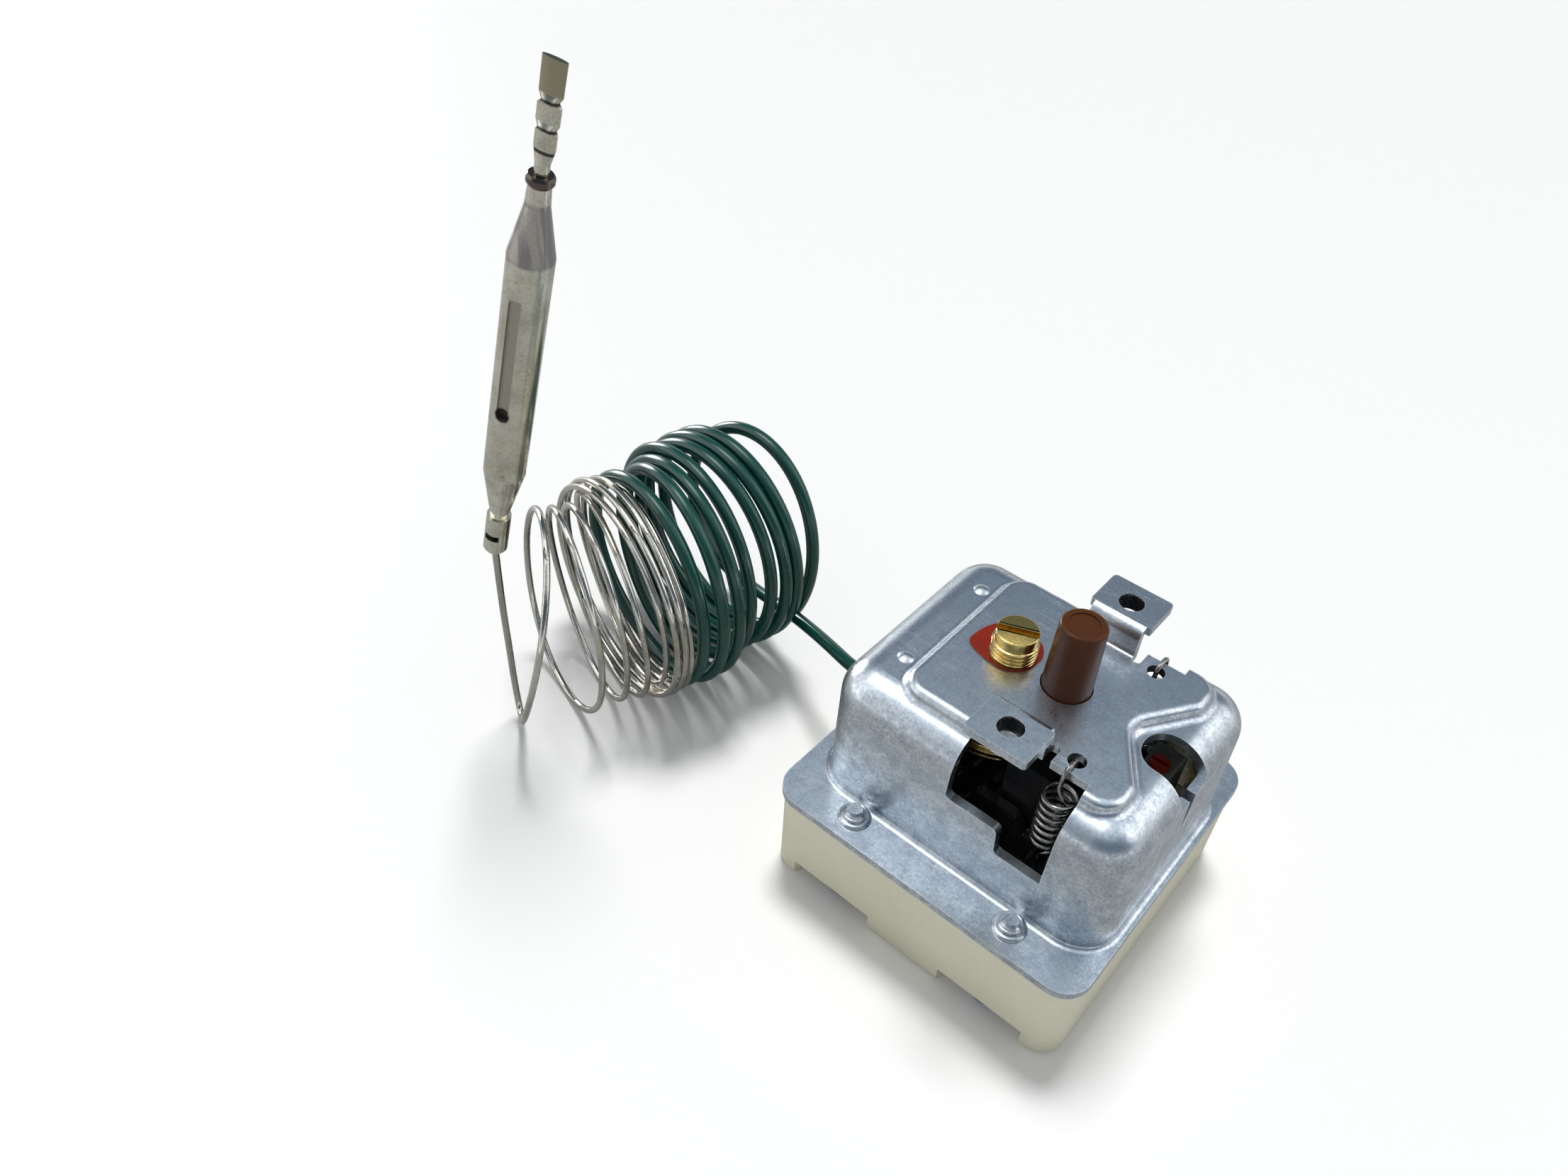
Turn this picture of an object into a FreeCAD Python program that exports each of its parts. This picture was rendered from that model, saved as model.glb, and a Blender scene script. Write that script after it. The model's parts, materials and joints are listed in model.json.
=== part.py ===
import FreeCAD, Part
import math
import os

V = FreeCAD.Vector

# Capillary limit control: a ceramic base with three switching poles, a drawn
# steel cover with two tapped mounting tabs, a reset button, and a long
# capillary that ends in a sensing bulb. Millimetres, +Z towards the button.
# The origin is the middle of the base's underside. +X runs along the long
# front edge, away from the end where the capillary leaves.

# Flange and base
flange_x = 46.8
flange_y = 46.4
flange_corner_r = 4.0
sheet = 1.2
base_h = 14.7
base_inset = 0.4

# Drawn steel cover
cover_rise = 20.0
left_ledge = 2.5
right_ledge = 1.1
side_ledge = 6.0
wall_corner_r = 5.6
wall_draft = 0.4
bend_r = 4.6
foot_r = 0.8
plateau_rise = 1.5
plateau_x0 = -12.4
plateau_x1 = 17.6
plateau_half_y = 13.5
plateau_corner_r = 3.2
plateau_nose_x = 12.2
plateau_notch_y = 8.2
plateau_edge_r = 1.1
plateau_foot_r = 1.2

# Mounting tabs, bent out of the cover, with their tapped holes
tab_mid_x = 3.4
tab_spacing = 28.0
tab_rise = 4.2
tab_width = 8.5
tab_leg_width = 7.2
tab_inner_y = 10.0
tab_outer_y = 17.4
tab_bend_r = 1.6
tap_r = 1.65
tap_collar_r = 2.5
tap_collar_drop = 1.3

# Windows in the cover's long sides
window_x0 = -1.3
window_step_x = 6.5
window_end_gap = 2.9
window_upper_sill_rise = 11.6
window_lower_sill_rise = 7.6
window_top_y = 11.6
window_corner_r = 0.7

# Slot over the right end of the cover
end_slot_x0 = 14.4
end_slot_width = 6.5
end_slot_sill_rise = 15.6
end_slit_rise = 8.9
end_slit_width = 1.6

# Small holes and dimples in the cover
hook_gap = 2.2
hook_hole_y = 9.5
hook_hole_r = 1.15
dimple_x = -14.6
dimple_y = 8.5
dimple_r = 1.1
dimple_rise = 0.35
sleeve_exit_rise = 1.3
sleeve_hole_gap = 0.1

# Flange screws, driven from below
screw_x = 12.0
screw_y = 19.5
screw_r = 1.5
screw_stand = 1.9
screw_head_r = 2.7
screw_head_h = 1.9
screw_gap_r = 2.05

# Adjusting screw and its sealing lacquer
adjust_x = -4.5
adjust_r = 3.0
adjust_stand = 4.0
adjust_length = 10.9
adjust_slot = 1.1
adjust_slot_depth = 1.2
adjust_thread_pitch = 0.6
adjust_plain = 2.0
lacquer_t = 0.2

# Reset button
button_top_r = 2.9
button_foot_r = 3.15
button_stand = 10.4
button_travel = 2.2
button_hole_gap = 0.15
button_collar_wall = 0.9
button_collar_h = 1.1
button_collar_gap = 0.05
button_edge_r = 0.5
button_dish_r = 1.9
button_dish_depth = 0.15
reset_rod_offset = 2.1
reset_rod_r = 0.9
reset_socket_depth = 2.0
reset_rod_gap = 0.15
reset_rod_clear = 0.75
reset_wire_r = 0.2
reset_coil_r = 1.9
reset_turns = 3

# Diaphragm capsule and thrust pin
capsule_r = 8.5
capsule_rim_t = 0.5
capsule_dish_t = 1.0
capsule_boss_r = 2.2
capsule_boss_h = 1.4
capsule_gap = 0.5
thrust_r = 1.0

# Rocker lever
pivot_x = -1.5
pivot_rise = 4.1
pivot_r = 1.0
pivot_play = 0.05
pivot_boss_r = 3.0
pivot_boss_side = 2.0
lever_left_x = -7.0
lever_beam_length = 4.0
lever_beam_gap = 1.0
lever_top_rise = 6.6
lever_bottom_rise = 1.9
lever_web = 10.0
lever_beam_foot_rise = 2.9
lever_beam_top_rise = 5.1
wing_y = 11.3
wing_t = 1.4
wing_x0 = -0.8
wing_peak_x0 = 0.2
wing_peak_x1 = 6.0
wing_step_x = 7.6
wing_peak_rise = 2.7
wing_step_rise = 0.2
wing_foot_x0 = 3.0
wing_foot_x1 = 6.2
wing_foot_drop = 1.9
hook_eye_rise = 5.5
hook_eye_r = 0.9
finger_w = 2.4
finger_t = 2.0

# Bearing frame that carries the rocker and guides the reset rod
frame_x0 = -4.2
frame_inner_y = 9.0
frame_t = 1.0
frame_top_rise = 16.3
frame_bridge_half = 2.8
frame_bridge_t = 1.0
frame_ear_rise = 3.0
frame_step_rise = 4.5

# Extension springs between the lever's wings and the cover
spring_wire_r = 0.3
spring_coil_r = 2.1
spring_foot_rise = 8.1
spring_top_rise = 17.1
spring_turns = 7

# Switching poles in the base
pole_pitch = 12.5
pole_chamber = 9.5
chamber_x = 17.5
chamber_depth = 5.7
chamber_floor_t = 1.8
chamber_corner_r = 1.5
terminal_x = 12.2
terminal_pocket = 10.0
channel_x0 = 6.9
channel_x1 = 17.4
channel_h = 2.8
channel_flare = 1.3
terminal_t = 0.8
terminal_size = 8.0
riser_x = 8.6
riser_w = 3.2
riser_gap = 0.1
contact_r = 1.6
contact_t = 0.9
blade_t = 0.3
blade_w = 5.0
blade_x1 = 14.0
finger_clear = 0.05
clamp_screw_r = 1.75
clamp_screw_head_r = 2.9
clamp_screw_head_h = 1.8
clamp_plate = 7.0
clamp_plate_t = 1.2
clamp_lip = 0.8
rivet_r = 0.6
rivet_head_r = 1.2
rivet_head_h = 0.6
wire_room = 1.4

# Calibration block below the end slot
block_gap = 1.0
block_length = 4.1
block_half_y = 7.4
block_top_rise = 13.6
block_wall = 1.2
block_pocket_depth = 2.2
block_arch_rise = 8.1
seal_screw_inset = 2.0
seal_screw_y = 3.4
seal_screw_r = 1.3
seal_screw_stand = 0.9
seal_screw_depth = 5.8

# Capillary, its sleeve, its coils and its bulb
sleeve_r = 1.0
capillary_r = 0.5
coil_start = (-67.6, -22.6)
coil_turn_deg = 77.0
steel_coil_length = 14.6
steel_coil_r = 17.0
green_coil_length = 18.2
green_coil_r = 18.2
coil_gap = 0.3
bulb_foot = (-70.9, -28.3, 32.5)
bulb_lean = (0.219, 0.075, 0.973)
bulb_r = 2.75
bulb_start = 15.3
bulb_end = 48.4
bulb_cone_start = 5.9
bulb_neck_r = 1.2
bulb_shoulder = 54.7
bulb_top_neck_r = 1.45
bulb_neck_end = 57.2
bulb_groove_start = 26.5
bulb_groove_end = 42.8
bulb_groove_r = 0.75
bulb_dimple_r = 0.9
bulb_groove_depth = 0.35
clip_length = 6.9
clip_r = 1.65
clip_wall = 0.35
clip_slot_h = 1.0
collar_ring_r = 1.6
collar_ring_t = 1.2
fill_tube_r = 0.85
fill_tube_end = 70.9

# Derived levels
flange_z = base_h + sheet
chamber_floor_z = base_h - chamber_depth
terminal_roof_z = chamber_floor_z - chamber_floor_t
strip_z = flange_z + cover_rise
plateau_z = strip_z + plateau_rise
under_plateau_z = plateau_z - sheet
tab_z = plateau_z + tab_rise
half_x = flange_x / 2
half_y = flange_y / 2
wall_x0 = left_ledge - half_x
wall_x1 = half_x - right_ledge
wall_y = half_y - side_ledge
adjust_top_z = plateau_z + adjust_stand
adjust_foot_z = adjust_top_z - adjust_length
capsule_top_z = adjust_foot_z - capsule_boss_h
capsule_rim_z = capsule_top_z - capsule_dish_t
capsule_foot_z = capsule_rim_z - capsule_rim_t - capsule_dish_t
fixed_contact_z = chamber_floor_z + terminal_t
blade_rest_z = fixed_contact_z + 2 * contact_t
finger_z = blade_rest_z + blade_t + finger_clear
sleeve_exit_z = flange_z + sleeve_exit_rise
pivot_z = flange_z + pivot_rise
lever_top_z = flange_z + lever_top_rise
lever_bottom_z = flange_z + lever_bottom_rise
lever_beam_z0 = flange_z + lever_beam_foot_rise
lever_beam_z1 = flange_z + lever_beam_top_rise
hook_eye_z = flange_z + hook_eye_rise
frame_top_z = flange_z + frame_top_rise
spring_z0 = flange_z + spring_foot_rise
spring_z1 = flange_z + spring_top_rise
block_top_z = flange_z + block_top_rise
collar_top_z = under_plateau_z - button_collar_gap
collar_foot_z = collar_top_z - button_collar_h

# Derived places along X: the reset rod stands beside the capsule's rim, the
# button and the frame's bridge keep to the rod, and the springs, the
# windows' ends and the lever's beam keep to the frame
reset_rod_x = adjust_x + capsule_r + capsule_gap + reset_rod_r
button_x = reset_rod_x - reset_rod_offset
button_collar_r = reset_rod_offset + reset_rod_r + button_collar_wall
frame_bridge_x0 = reset_rod_x - frame_bridge_half
frame_x1 = reset_rod_x + frame_bridge_half
hook_hole_x = frame_x1 + hook_gap
window_x1 = hook_hole_x + window_end_gap
lever_beam_x0 = frame_x1 + lever_beam_gap
lever_right_x = lever_beam_x0 + lever_beam_length
block_x0 = lever_right_x + block_gap
block_x1 = block_x0 + block_length
seal_screw_x = block_x0 + seal_screw_inset
pole_ys = [-pole_pitch, 0.0, pole_pitch]
sides = [-1, 1]


def box(x0, x1, y0, y1, z0, z1):
    return Part.makeBox(x1 - x0, y1 - y0, z1 - z0, V(x0, y0, z0))


def rod(x, y, z0, z1, r):
    return Part.makeCylinder(r, z1 - z0, V(x, y, z0))


def join(shapes):
    whole = shapes[0]
    for shape in shapes[1:]:
        whole = whole.fuse(shape)
    return whole.removeSplitter()


def corner_arc(before, at, after, radius):
    # The tangent points and the middle of the arc that rounds one corner.
    back = (before - at).normalize()
    ahead = (after - at).normalize()
    half = back.getAngle(ahead) / 2
    reach = radius / math.tan(half)
    middle = (back + ahead).normalize() * (radius / math.sin(half) - radius)
    return at + back * reach, at + middle, at + ahead * reach


def rounded_wire(corners, place):
    # A closed outline of straight edges; each corner is (u, v, radius).
    points = [place(u, v) for u, v, r in corners]
    count = len(points)
    rounds = []
    for i in range(count):
        if corners[i][2] > 0:
            rounds.append(corner_arc(points[i - 1], points[i], points[(i + 1) % count], corners[i][2]))
        else:
            rounds.append((points[i], None, points[i]))
    edges = []
    for i in range(count):
        start, middle, end = rounds[i]
        if middle is not None:
            edges.append(Part.Arc(start, middle, end).toShape())
        following = rounds[(i + 1) % count][0]
        if end.distanceToPoint(following) > 1e-6:
            edges.append(Part.LineSegment(end, following).toShape())
    return Part.Wire(edges)


def flat_wire(corners, z):
    return rounded_wire(corners, lambda u, v: V(u, v, z))


def prism(corners, z0, z1):
    return Part.Face(flat_wire(corners, z0)).extrude(V(0, 0, z1 - z0))


def side_prism(corners, y0, y1):
    # An outline in the XZ plane, given thickness along Y.
    wire = rounded_wire(corners, lambda u, v: V(u, y0, v))
    return Part.Face(wire).extrude(V(0, y1 - y0, 0))


def end_prism(corners, x0, x1):
    # An outline in the YZ plane, given thickness along X.
    wire = rounded_wire(corners, lambda u, v: V(x0, u, v))
    return Part.Face(wire).extrude(V(x1 - x0, 0, 0))


def rectangle(x0, x1, y0, y1, r):
    return [(x0, y0, r), (x1, y0, r), (x1, y1, r), (x0, y1, r)]


def turned(profile, x, y):
    # A solid of revolution from (radius, z) points.
    points = [V(x + r, y, z) for r, z in profile]
    face = Part.Face(Part.makePolygon(points + [points[0]]))
    return face.revolve(V(x, y, 0), V(0, 0, 1), 360)


def edges_at(shape, z, slack=0.01):
    return [e for e in shape.Edges if abs(e.BoundBox.ZMin - z) < slack and abs(e.BoundBox.ZMax - z) < slack]


def mirror_y(shape):
    return shape.mirror(V(0, 0, 0), V(0, 1, 0))


def both_sides(front_shape):
    return Part.makeCompound([front_shape, mirror_y(front_shape)])


def smooth_path(points, name=None):
    # Straight runs joined by tangent arcs, each as large as its runs allow.
    places = [V(*p) for p in points]
    edges = []
    radii = []
    start = places[0]
    for i in range(1, len(places) - 1):
        before, at, after = places[i - 1], places[i], places[i + 1]
        turn = math.pi - (before - at).getAngle(after - at)
        shorter = min(at.distanceToPoint(before), at.distanceToPoint(after))
        radius = 0.45 * shorter / math.tan(turn / 2)
        radii.append(radius)
        enter, middle, leave = corner_arc(before, at, after, radius)
        edges.append(Part.LineSegment(start, enter).toShape())
        edges.append(Part.Arc(enter, middle, leave).toShape())
        start = leave
    edges.append(Part.LineSegment(start, places[-1]).toShape())
    wire = Part.Wire(edges)
    if name:
        print(name, "length %.1f" % wire.Length, "radii", ["%.1f" % r for r in radii])
    return wire


def tube_along(points, r, name=None):
    path = smooth_path(points, name)
    start = V(*points[0])
    heading = V(*points[1]) - start
    profile = Part.Wire([Part.Circle(start, heading, r).toShape()])
    tube = Part.BRepOffsetAPI.MakePipeShell(path)
    tube.setTransitionMode(1)
    tube.add(profile)
    tube.build()
    tube.makeSolid()
    solid = tube.shape()
    if name:
        print(name, "volume %.1f" % solid.Volume, "against %.1f" % (math.pi * r * r * path.Length))
    return solid


def coil_wire(x, y, z0, z1, turns, coil_r, wire_r):
    # Wire wound as a helix about a vertical axis.
    helix = Part.makeHelix((z1 - z0) / turns, z1 - z0, coil_r)
    profile = Part.Wire([Part.Circle(V(coil_r, 0, 0), V(0, 1, 0), wire_r).toShape()])
    winding = Part.Wire(helix.Edges).makePipeShell([profile], True, True)
    winding.translate(V(x, y, z0))
    return winding


# Ceramic base


def channel_outline(side):
    # The wire channel's two walls run parallel, and flare at the outer face.
    x0, x1 = sorted((side * channel_x0, side * channel_x1))
    face = half_y
    inner = half_y - 3 * channel_flare
    flare = channel_flare
    return [
        (x0 - flare, -face, 0), (x1 + flare, -face, 0), (x1, -inner, 0), (x1, inner, 0),
        (x1 + flare, face, 0), (x0 - flare, face, 0), (x0, inner, 0), (x0, -inner, 0),
    ]


def ceramic_base():
    outer = rectangle(base_inset - half_x, half_x - base_inset, base_inset - half_y,
                      half_y - base_inset, flange_corner_r - base_inset)
    body = prism(outer, 0, base_h)
    body = body.makeFillet(0.8, edges_at(body, 0))
    cuts = []
    for side in sides:
        cuts.append(prism(channel_outline(side), -1, channel_h))
    for y in pole_ys:
        chamber = rectangle(-chamber_x, chamber_x, y - pole_chamber / 2, y + pole_chamber / 2, chamber_corner_r)
        cuts.append(prism(chamber, chamber_floor_z, base_h + 1))
        for side in sides:
            x = side * terminal_x
            cuts.append(box(x - terminal_pocket / 2, x + terminal_pocket / 2,
                            y - pole_chamber / 2, y + pole_chamber / 2, -1, terminal_roof_z))
            cuts.append(riser_slot(side, y))
            cuts.append(rod(x, y, terminal_roof_z - 1, terminal_roof_z + 1.2, clamp_screw_r + 0.2))
    for x in (-screw_x, screw_x):
        for y in (-screw_y, screw_y):
            cuts.append(rod(x, y, -1, base_h + 1, screw_r + 0.2))
    return body.cut(Part.makeCompound(cuts))


def riser_slot(side, y):
    x = side * riser_x
    half = riser_w / 2 + riser_gap
    return box(x - terminal_t / 2 - riser_gap, x + terminal_t / 2 + riser_gap,
               y - half, y + half, terminal_roof_z - 1, chamber_floor_z + 1)


def terminal(side, y):
    # A brass strip: clamp plate below the floor, riser, and pad above it.
    x = side * terminal_x
    riser = side * riser_x
    under_z = terminal_roof_z - terminal_t
    plate = box(x - terminal_size / 2, x + terminal_size / 2, y - terminal_size / 2, y + terminal_size / 2,
                under_z, terminal_roof_z)
    post = box(riser - terminal_t / 2, riser + terminal_t / 2, y - riser_w / 2, y + riser_w / 2,
               under_z, fixed_contact_z)
    far = side * (terminal_x + contact_r)
    pad_x0, pad_x1 = sorted((riser - side * terminal_t / 2, far))
    pad = box(pad_x0, pad_x1, y - riser_w / 2, y + riser_w / 2, chamber_floor_z, fixed_contact_z)
    body = join([plate, post, pad])
    return body.cut(rod(x, y, under_z - 1, terminal_roof_z + 0.01, clamp_screw_r))


def terminal_screws():
    screws = []
    for side in sides:
        for y in pole_ys:
            screws.append(clamp_screw(side * terminal_x, y))
    return Part.makeCompound(screws)


def clamp_screw(x, y):
    plate_z = terminal_roof_z - terminal_t - wire_room - clamp_plate_t
    head_z = plate_z - clamp_screw_head_h
    shank = rod(x, y, plate_z - 0.1, terminal_roof_z + 1.0, clamp_screw_r)
    head = rod(x, y, head_z, plate_z, clamp_screw_head_r)
    head = head.makeFillet(0.4, edges_at(head, head_z))
    slot = box(x - clamp_screw_head_r, x + clamp_screw_head_r, y - 0.4, y + 0.4, head_z - 1, head_z + 0.9)
    return join([head, shank]).cut(slot)


def wire_clamps():
    clamps = []
    top = terminal_roof_z - terminal_t
    plate_z = top - wire_room - clamp_plate_t
    half = clamp_plate / 2
    for side in sides:
        for y in pole_ys:
            x = side * terminal_x
            plate = box(x - half, x + half, y - half, y + half, plate_z, plate_z + clamp_plate_t)
            lips = [box(x - half, x - half + clamp_lip, y - half, y + half, plate_z, top),
                    box(x + half - clamp_lip, x + half, y - half, y + half, plate_z, top)]
            clamps.append(join([plate] + lips).cut(rod(x, y, plate_z - 1, top, clamp_screw_r)))
    return Part.makeCompound(clamps)


def contact_blade(y):
    # A spring blade, held at the left terminal and free at its contact end.
    x0 = -terminal_x - contact_r
    bend0 = -riser_x + 2.0
    bend1 = bend0 + 7.0
    low = fixed_contact_z
    high = blade_rest_z
    outline = [
        (x0, low, 0), (bend0, low, 3.0), (bend1, high, 3.0), (blade_x1, high, 0),
        (blade_x1, high + blade_t, 0), (bend1, high + blade_t, 3.0), (bend0, low + blade_t, 3.0),
        (x0, low + blade_t, 0),
    ]
    blade = side_prism(outline, y - blade_w / 2, y + blade_w / 2)
    return blade.cut(rod(-terminal_x, y, low - 1, low + 1, rivet_r))


def blade_rivets():
    rivets = []
    for y in pole_ys:
        top = fixed_contact_z + blade_t
        rivets.append(turned([(0, fixed_contact_z), (rivet_r, fixed_contact_z), (rivet_r, top), (rivet_head_r, top),
                              (0.75 * rivet_head_r, top + 0.8 * rivet_head_h), (0, top + rivet_head_h)],
                             -terminal_x, y))
    return Part.makeCompound(rivets)


def fixed_contacts():
    return Part.makeCompound([rod(terminal_x, y, fixed_contact_z, fixed_contact_z + contact_t, contact_r)
                              for y in pole_ys])


def moving_contacts():
    return Part.makeCompound([rod(terminal_x, y, fixed_contact_z + contact_t, blade_rest_z, contact_r)
                              for y in pole_ys])


def flange_screws():
    screws = []
    for x in (-screw_x, screw_x):
        for y in (-screw_y, screw_y):
            screws.append(flange_screw(x, y))
    return Part.makeCompound(screws)


def flange_screw(x, y):
    head_z = channel_h - screw_head_h
    tip_z = flange_z + screw_stand
    body = turned([(0, head_z), (screw_head_r - 0.5, head_z), (screw_head_r, head_z + 0.5),
                   (screw_head_r, channel_h), (screw_r, channel_h), (screw_r, tip_z - 0.9),
                   (screw_r * 0.72, tip_z - 0.6), (screw_r * 0.62, tip_z), (0, tip_z)], x, y)
    slot = box(x - screw_head_r, x + screw_head_r, y - 0.35, y + 0.35, head_z - 1, head_z + 0.8)
    return body.cut(slot)


# Drawn steel cover


def cover_box(inset, foot_z, top_z, edge_r):
    # The cover's drawn body, with a little draft and a large top bend.
    corner = wall_corner_r - inset
    foot = rectangle(wall_x0 + inset, wall_x1 - inset, inset - wall_y, wall_y - inset, corner)
    lean = inset + wall_draft
    top = rectangle(wall_x0 + lean, wall_x1 - lean, lean - wall_y, wall_y - lean, corner - wall_draft)
    body = Part.makeLoft([flat_wire(foot, foot_z), flat_wire(top, top_z)], True, True)
    return body.makeFillet(edge_r, edges_at(body, top_z))


def plateau_outline(inset):
    x0 = plateau_x0 + inset
    x1 = plateau_x1 - inset
    y1 = plateau_half_y - inset
    corner = plateau_corner_r - inset
    nose = plateau_nose_x - inset * 1.2
    notch = plateau_notch_y + inset * 0.55
    return [
        (x0, -y1, corner), (x1, -y1, corner), (x1, -notch, 2.0), (nose, 0, 3.0 + inset),
        (x1, notch, 2.0), (x1, y1, corner), (x0, y1, corner),
    ]


def plateau(inset, z0, z1, edge_r):
    body = prism(plateau_outline(inset), z0, z1)
    return body.makeFillet(edge_r, edges_at(body, z1))


def cover_blank():
    flange = prism(rectangle(-half_x, half_x, -half_y, half_y, flange_corner_r), base_h, flange_z)
    outer = flange.fuse(cover_box(0, flange_z - 0.1, strip_z, bend_r)).removeSplitter()
    foot_edges = [e for e in edges_at(outer, flange_z) if abs(e.BoundBox.Center.y) < wall_y + 0.1
                  and e.BoundBox.YMax < half_y - 1 and e.BoundBox.YMin > 1 - half_y
                  and e.BoundBox.XMax < half_x - right_ledge + 0.1 and e.BoundBox.XMin > wall_x0 - 0.1]
    outer = outer.makeFillet(foot_r, foot_edges)
    outer = outer.fuse(plateau(0, strip_z - 1, plateau_z, plateau_edge_r)).removeSplitter()
    left_foot = [e for e in edges_at(outer, strip_z) if abs(e.BoundBox.Center.x - plateau_x0) < 0.01]
    outer = outer.makeFillet(plateau_foot_r, left_foot)
    inner = cover_box(sheet, base_h - 1, strip_z - sheet, bend_r - sheet)
    rise = plateau(sheet, strip_z - sheet - 1, under_plateau_z, plateau_edge_r - 0.4)
    return outer.cut(inner.fuse(rise))


def window_cut():
    # The front window: a stepped opening that runs up over the top bend.
    r = window_corner_r
    far = half_y
    upper_sill = flange_z + window_upper_sill_rise
    lower_sill = flange_z + window_lower_sill_rise
    opening = side_prism([
        (window_x0, upper_sill, r), (window_step_x - 0.3, upper_sill, r),
        (window_step_x, lower_sill, r), (window_x1 - 0.3, lower_sill, 0.2),
        (window_x1, plateau_z + 1, 0), (window_x0 + 0.3, plateau_z + 1, 0)], -far, -window_top_y)
    leg_x1 = tab_mid_x + tab_leg_width / 2
    leg_x0 = tab_mid_x - tab_leg_width / 2
    for x0, x1 in ((leg_x1, leg_x1 + 1.2), (leg_x0 - 1.0, leg_x0)):
        slot = prism([(x0, -far, 0), (x1, -far, 0), (x1, -tab_inner_y + 0.8, 0.5), (x0, -tab_inner_y + 0.8, 0.5)],
                     strip_z - 3, plateau_z + 1)
        opening = opening.fuse(slot)
    under_leg = box(leg_x0 - 0.5, leg_x1 + 0.5, -far, -tab_inner_y - sheet, strip_z - 3, plateau_z + 1)
    return opening.fuse(under_leg)


def end_slot_cut():
    half = end_slot_width / 2
    far = half_x + 1
    sill = flange_z + end_slot_sill_rise
    slit_foot = flange_z + end_slit_rise
    top = prism([(end_slot_x0, -half, half - 0.2), (far, -half, 0), (far, half, 0), (end_slot_x0, half, half - 0.2)],
                sill, plateau_z + 1)
    slit = end_prism([(-end_slit_width / 2, sill + 0.5, 0), (0, slit_foot, 0),
                      (end_slit_width / 2, sill + 0.5, 0)], wall_x1 - sheet - 2, far)
    return top.fuse(slit)


def mounting_tab():
    # The front tab: a leg bent up from the plateau and a plate bent outwards.
    inner = -tab_inner_y
    outer = inner - sheet
    tip = -tab_outer_y
    leg = end_prism([
        (inner + 0.9, under_plateau_z, 0), (inner + 0.9, plateau_z, 0), (inner, plateau_z, 0.5),
        (inner, tab_z, tab_bend_r), (tip, tab_z, 0), (tip, tab_z - sheet, 0),
        (outer, tab_z - sheet, tab_bend_r - sheet), (outer, under_plateau_z, 0)],
        tab_mid_x - tab_leg_width / 2, tab_mid_x + tab_leg_width / 2)
    plate = prism([(tab_mid_x - tab_width / 2, tip, 0.6), (tab_mid_x + tab_width / 2, tip, 0.6),
                   (tab_mid_x + tab_width / 2, outer - 0.1, 0.2), (tab_mid_x - tab_width / 2, outer - 0.1, 0.2)],
                  tab_z - sheet, tab_z)
    y = -tab_spacing / 2
    collar = rod(tab_mid_x, y, tab_z - sheet - tap_collar_drop, tab_z - 0.1, tap_collar_r)
    hole = rod(tab_mid_x, y, tab_z - sheet - tap_collar_drop - 1, tab_z + 1, tap_r)
    return join([leg, plate, collar]).cut(hole)


def dimple(x, y):
    ball_r = (dimple_r ** 2 + dimple_rise ** 2) / (2 * dimple_rise)
    ball = Part.makeSphere(ball_r, V(x, y, strip_z + dimple_rise - ball_r))
    return ball.common(rod(x, y, strip_z - 0.3, strip_z + 1, 2 * dimple_r))


def cover():
    blank = cover_blank()
    window = window_cut()
    cuts = [window, mirror_y(window), end_slot_cut()]
    for y in (-hook_hole_y, hook_hole_y):
        cuts.append(rod(hook_hole_x, y, strip_z - 2, plateau_z + 1, hook_hole_r))
    cuts.append(rod(adjust_x, 0, strip_z - 2, plateau_z + 1, adjust_r))
    cuts.append(rod(button_x, 0, strip_z - 2, plateau_z + 1, button_foot_r + button_hole_gap))
    cuts.append(Part.makeCylinder(sleeve_r + sleeve_hole_gap, 2 * left_ledge + sheet,
                                  V(wall_x0 - left_ledge, 0, sleeve_exit_z), V(1, 0, 0)))
    for x in (-screw_x, screw_x):
        for y in (-screw_y, screw_y):
            cuts.append(turned([(0, base_h - 1), (screw_r, base_h - 1), (screw_r, flange_z - 0.5),
                                (screw_gap_r, flange_z - 0.4), (screw_gap_r, flange_z + 1),
                                (0, flange_z + 1)], x, y))
    body = blank
    for cut in cuts:
        body = body.cut(cut)
    tab = mounting_tab()
    body = body.fuse(tab).fuse(mirror_y(tab))
    for y in (-dimple_y, dimple_y):
        body = body.fuse(dimple(dimple_x, y))
    return body.removeSplitter()


# Adjusting screw, lacquer and reset button


def adjusting_screw():
    profile = [(0, adjust_foot_z), (adjust_r - 0.5, adjust_foot_z), (adjust_r, adjust_foot_z + 0.5)]
    groove = adjust_r - 0.3
    thread_top = adjust_top_z - adjust_plain
    profile.append((adjust_r, under_plateau_z - 0.2))
    profile.append((adjust_r, plateau_z + 0.1))
    z = plateau_z + 0.1
    while z + adjust_thread_pitch < thread_top:
        profile.append((groove, z + adjust_thread_pitch / 2))
        profile.append((adjust_r, z + adjust_thread_pitch))
        z += adjust_thread_pitch
    profile += [(adjust_r, adjust_top_z - 0.35), (adjust_r - 0.35, adjust_top_z), (0, adjust_top_z)]
    body = turned(profile, adjust_x, 0)
    half = adjust_slot / 2
    slot = box(-adjust_r - 1, adjust_r + 1, -half, half, adjust_top_z - adjust_slot_depth, adjust_top_z + 1)
    slot.rotate(V(0, 0, 0), V(0, 0, 1), -18)
    slot.translate(V(adjust_x, 0, 0))
    return body.cut(slot)


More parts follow.
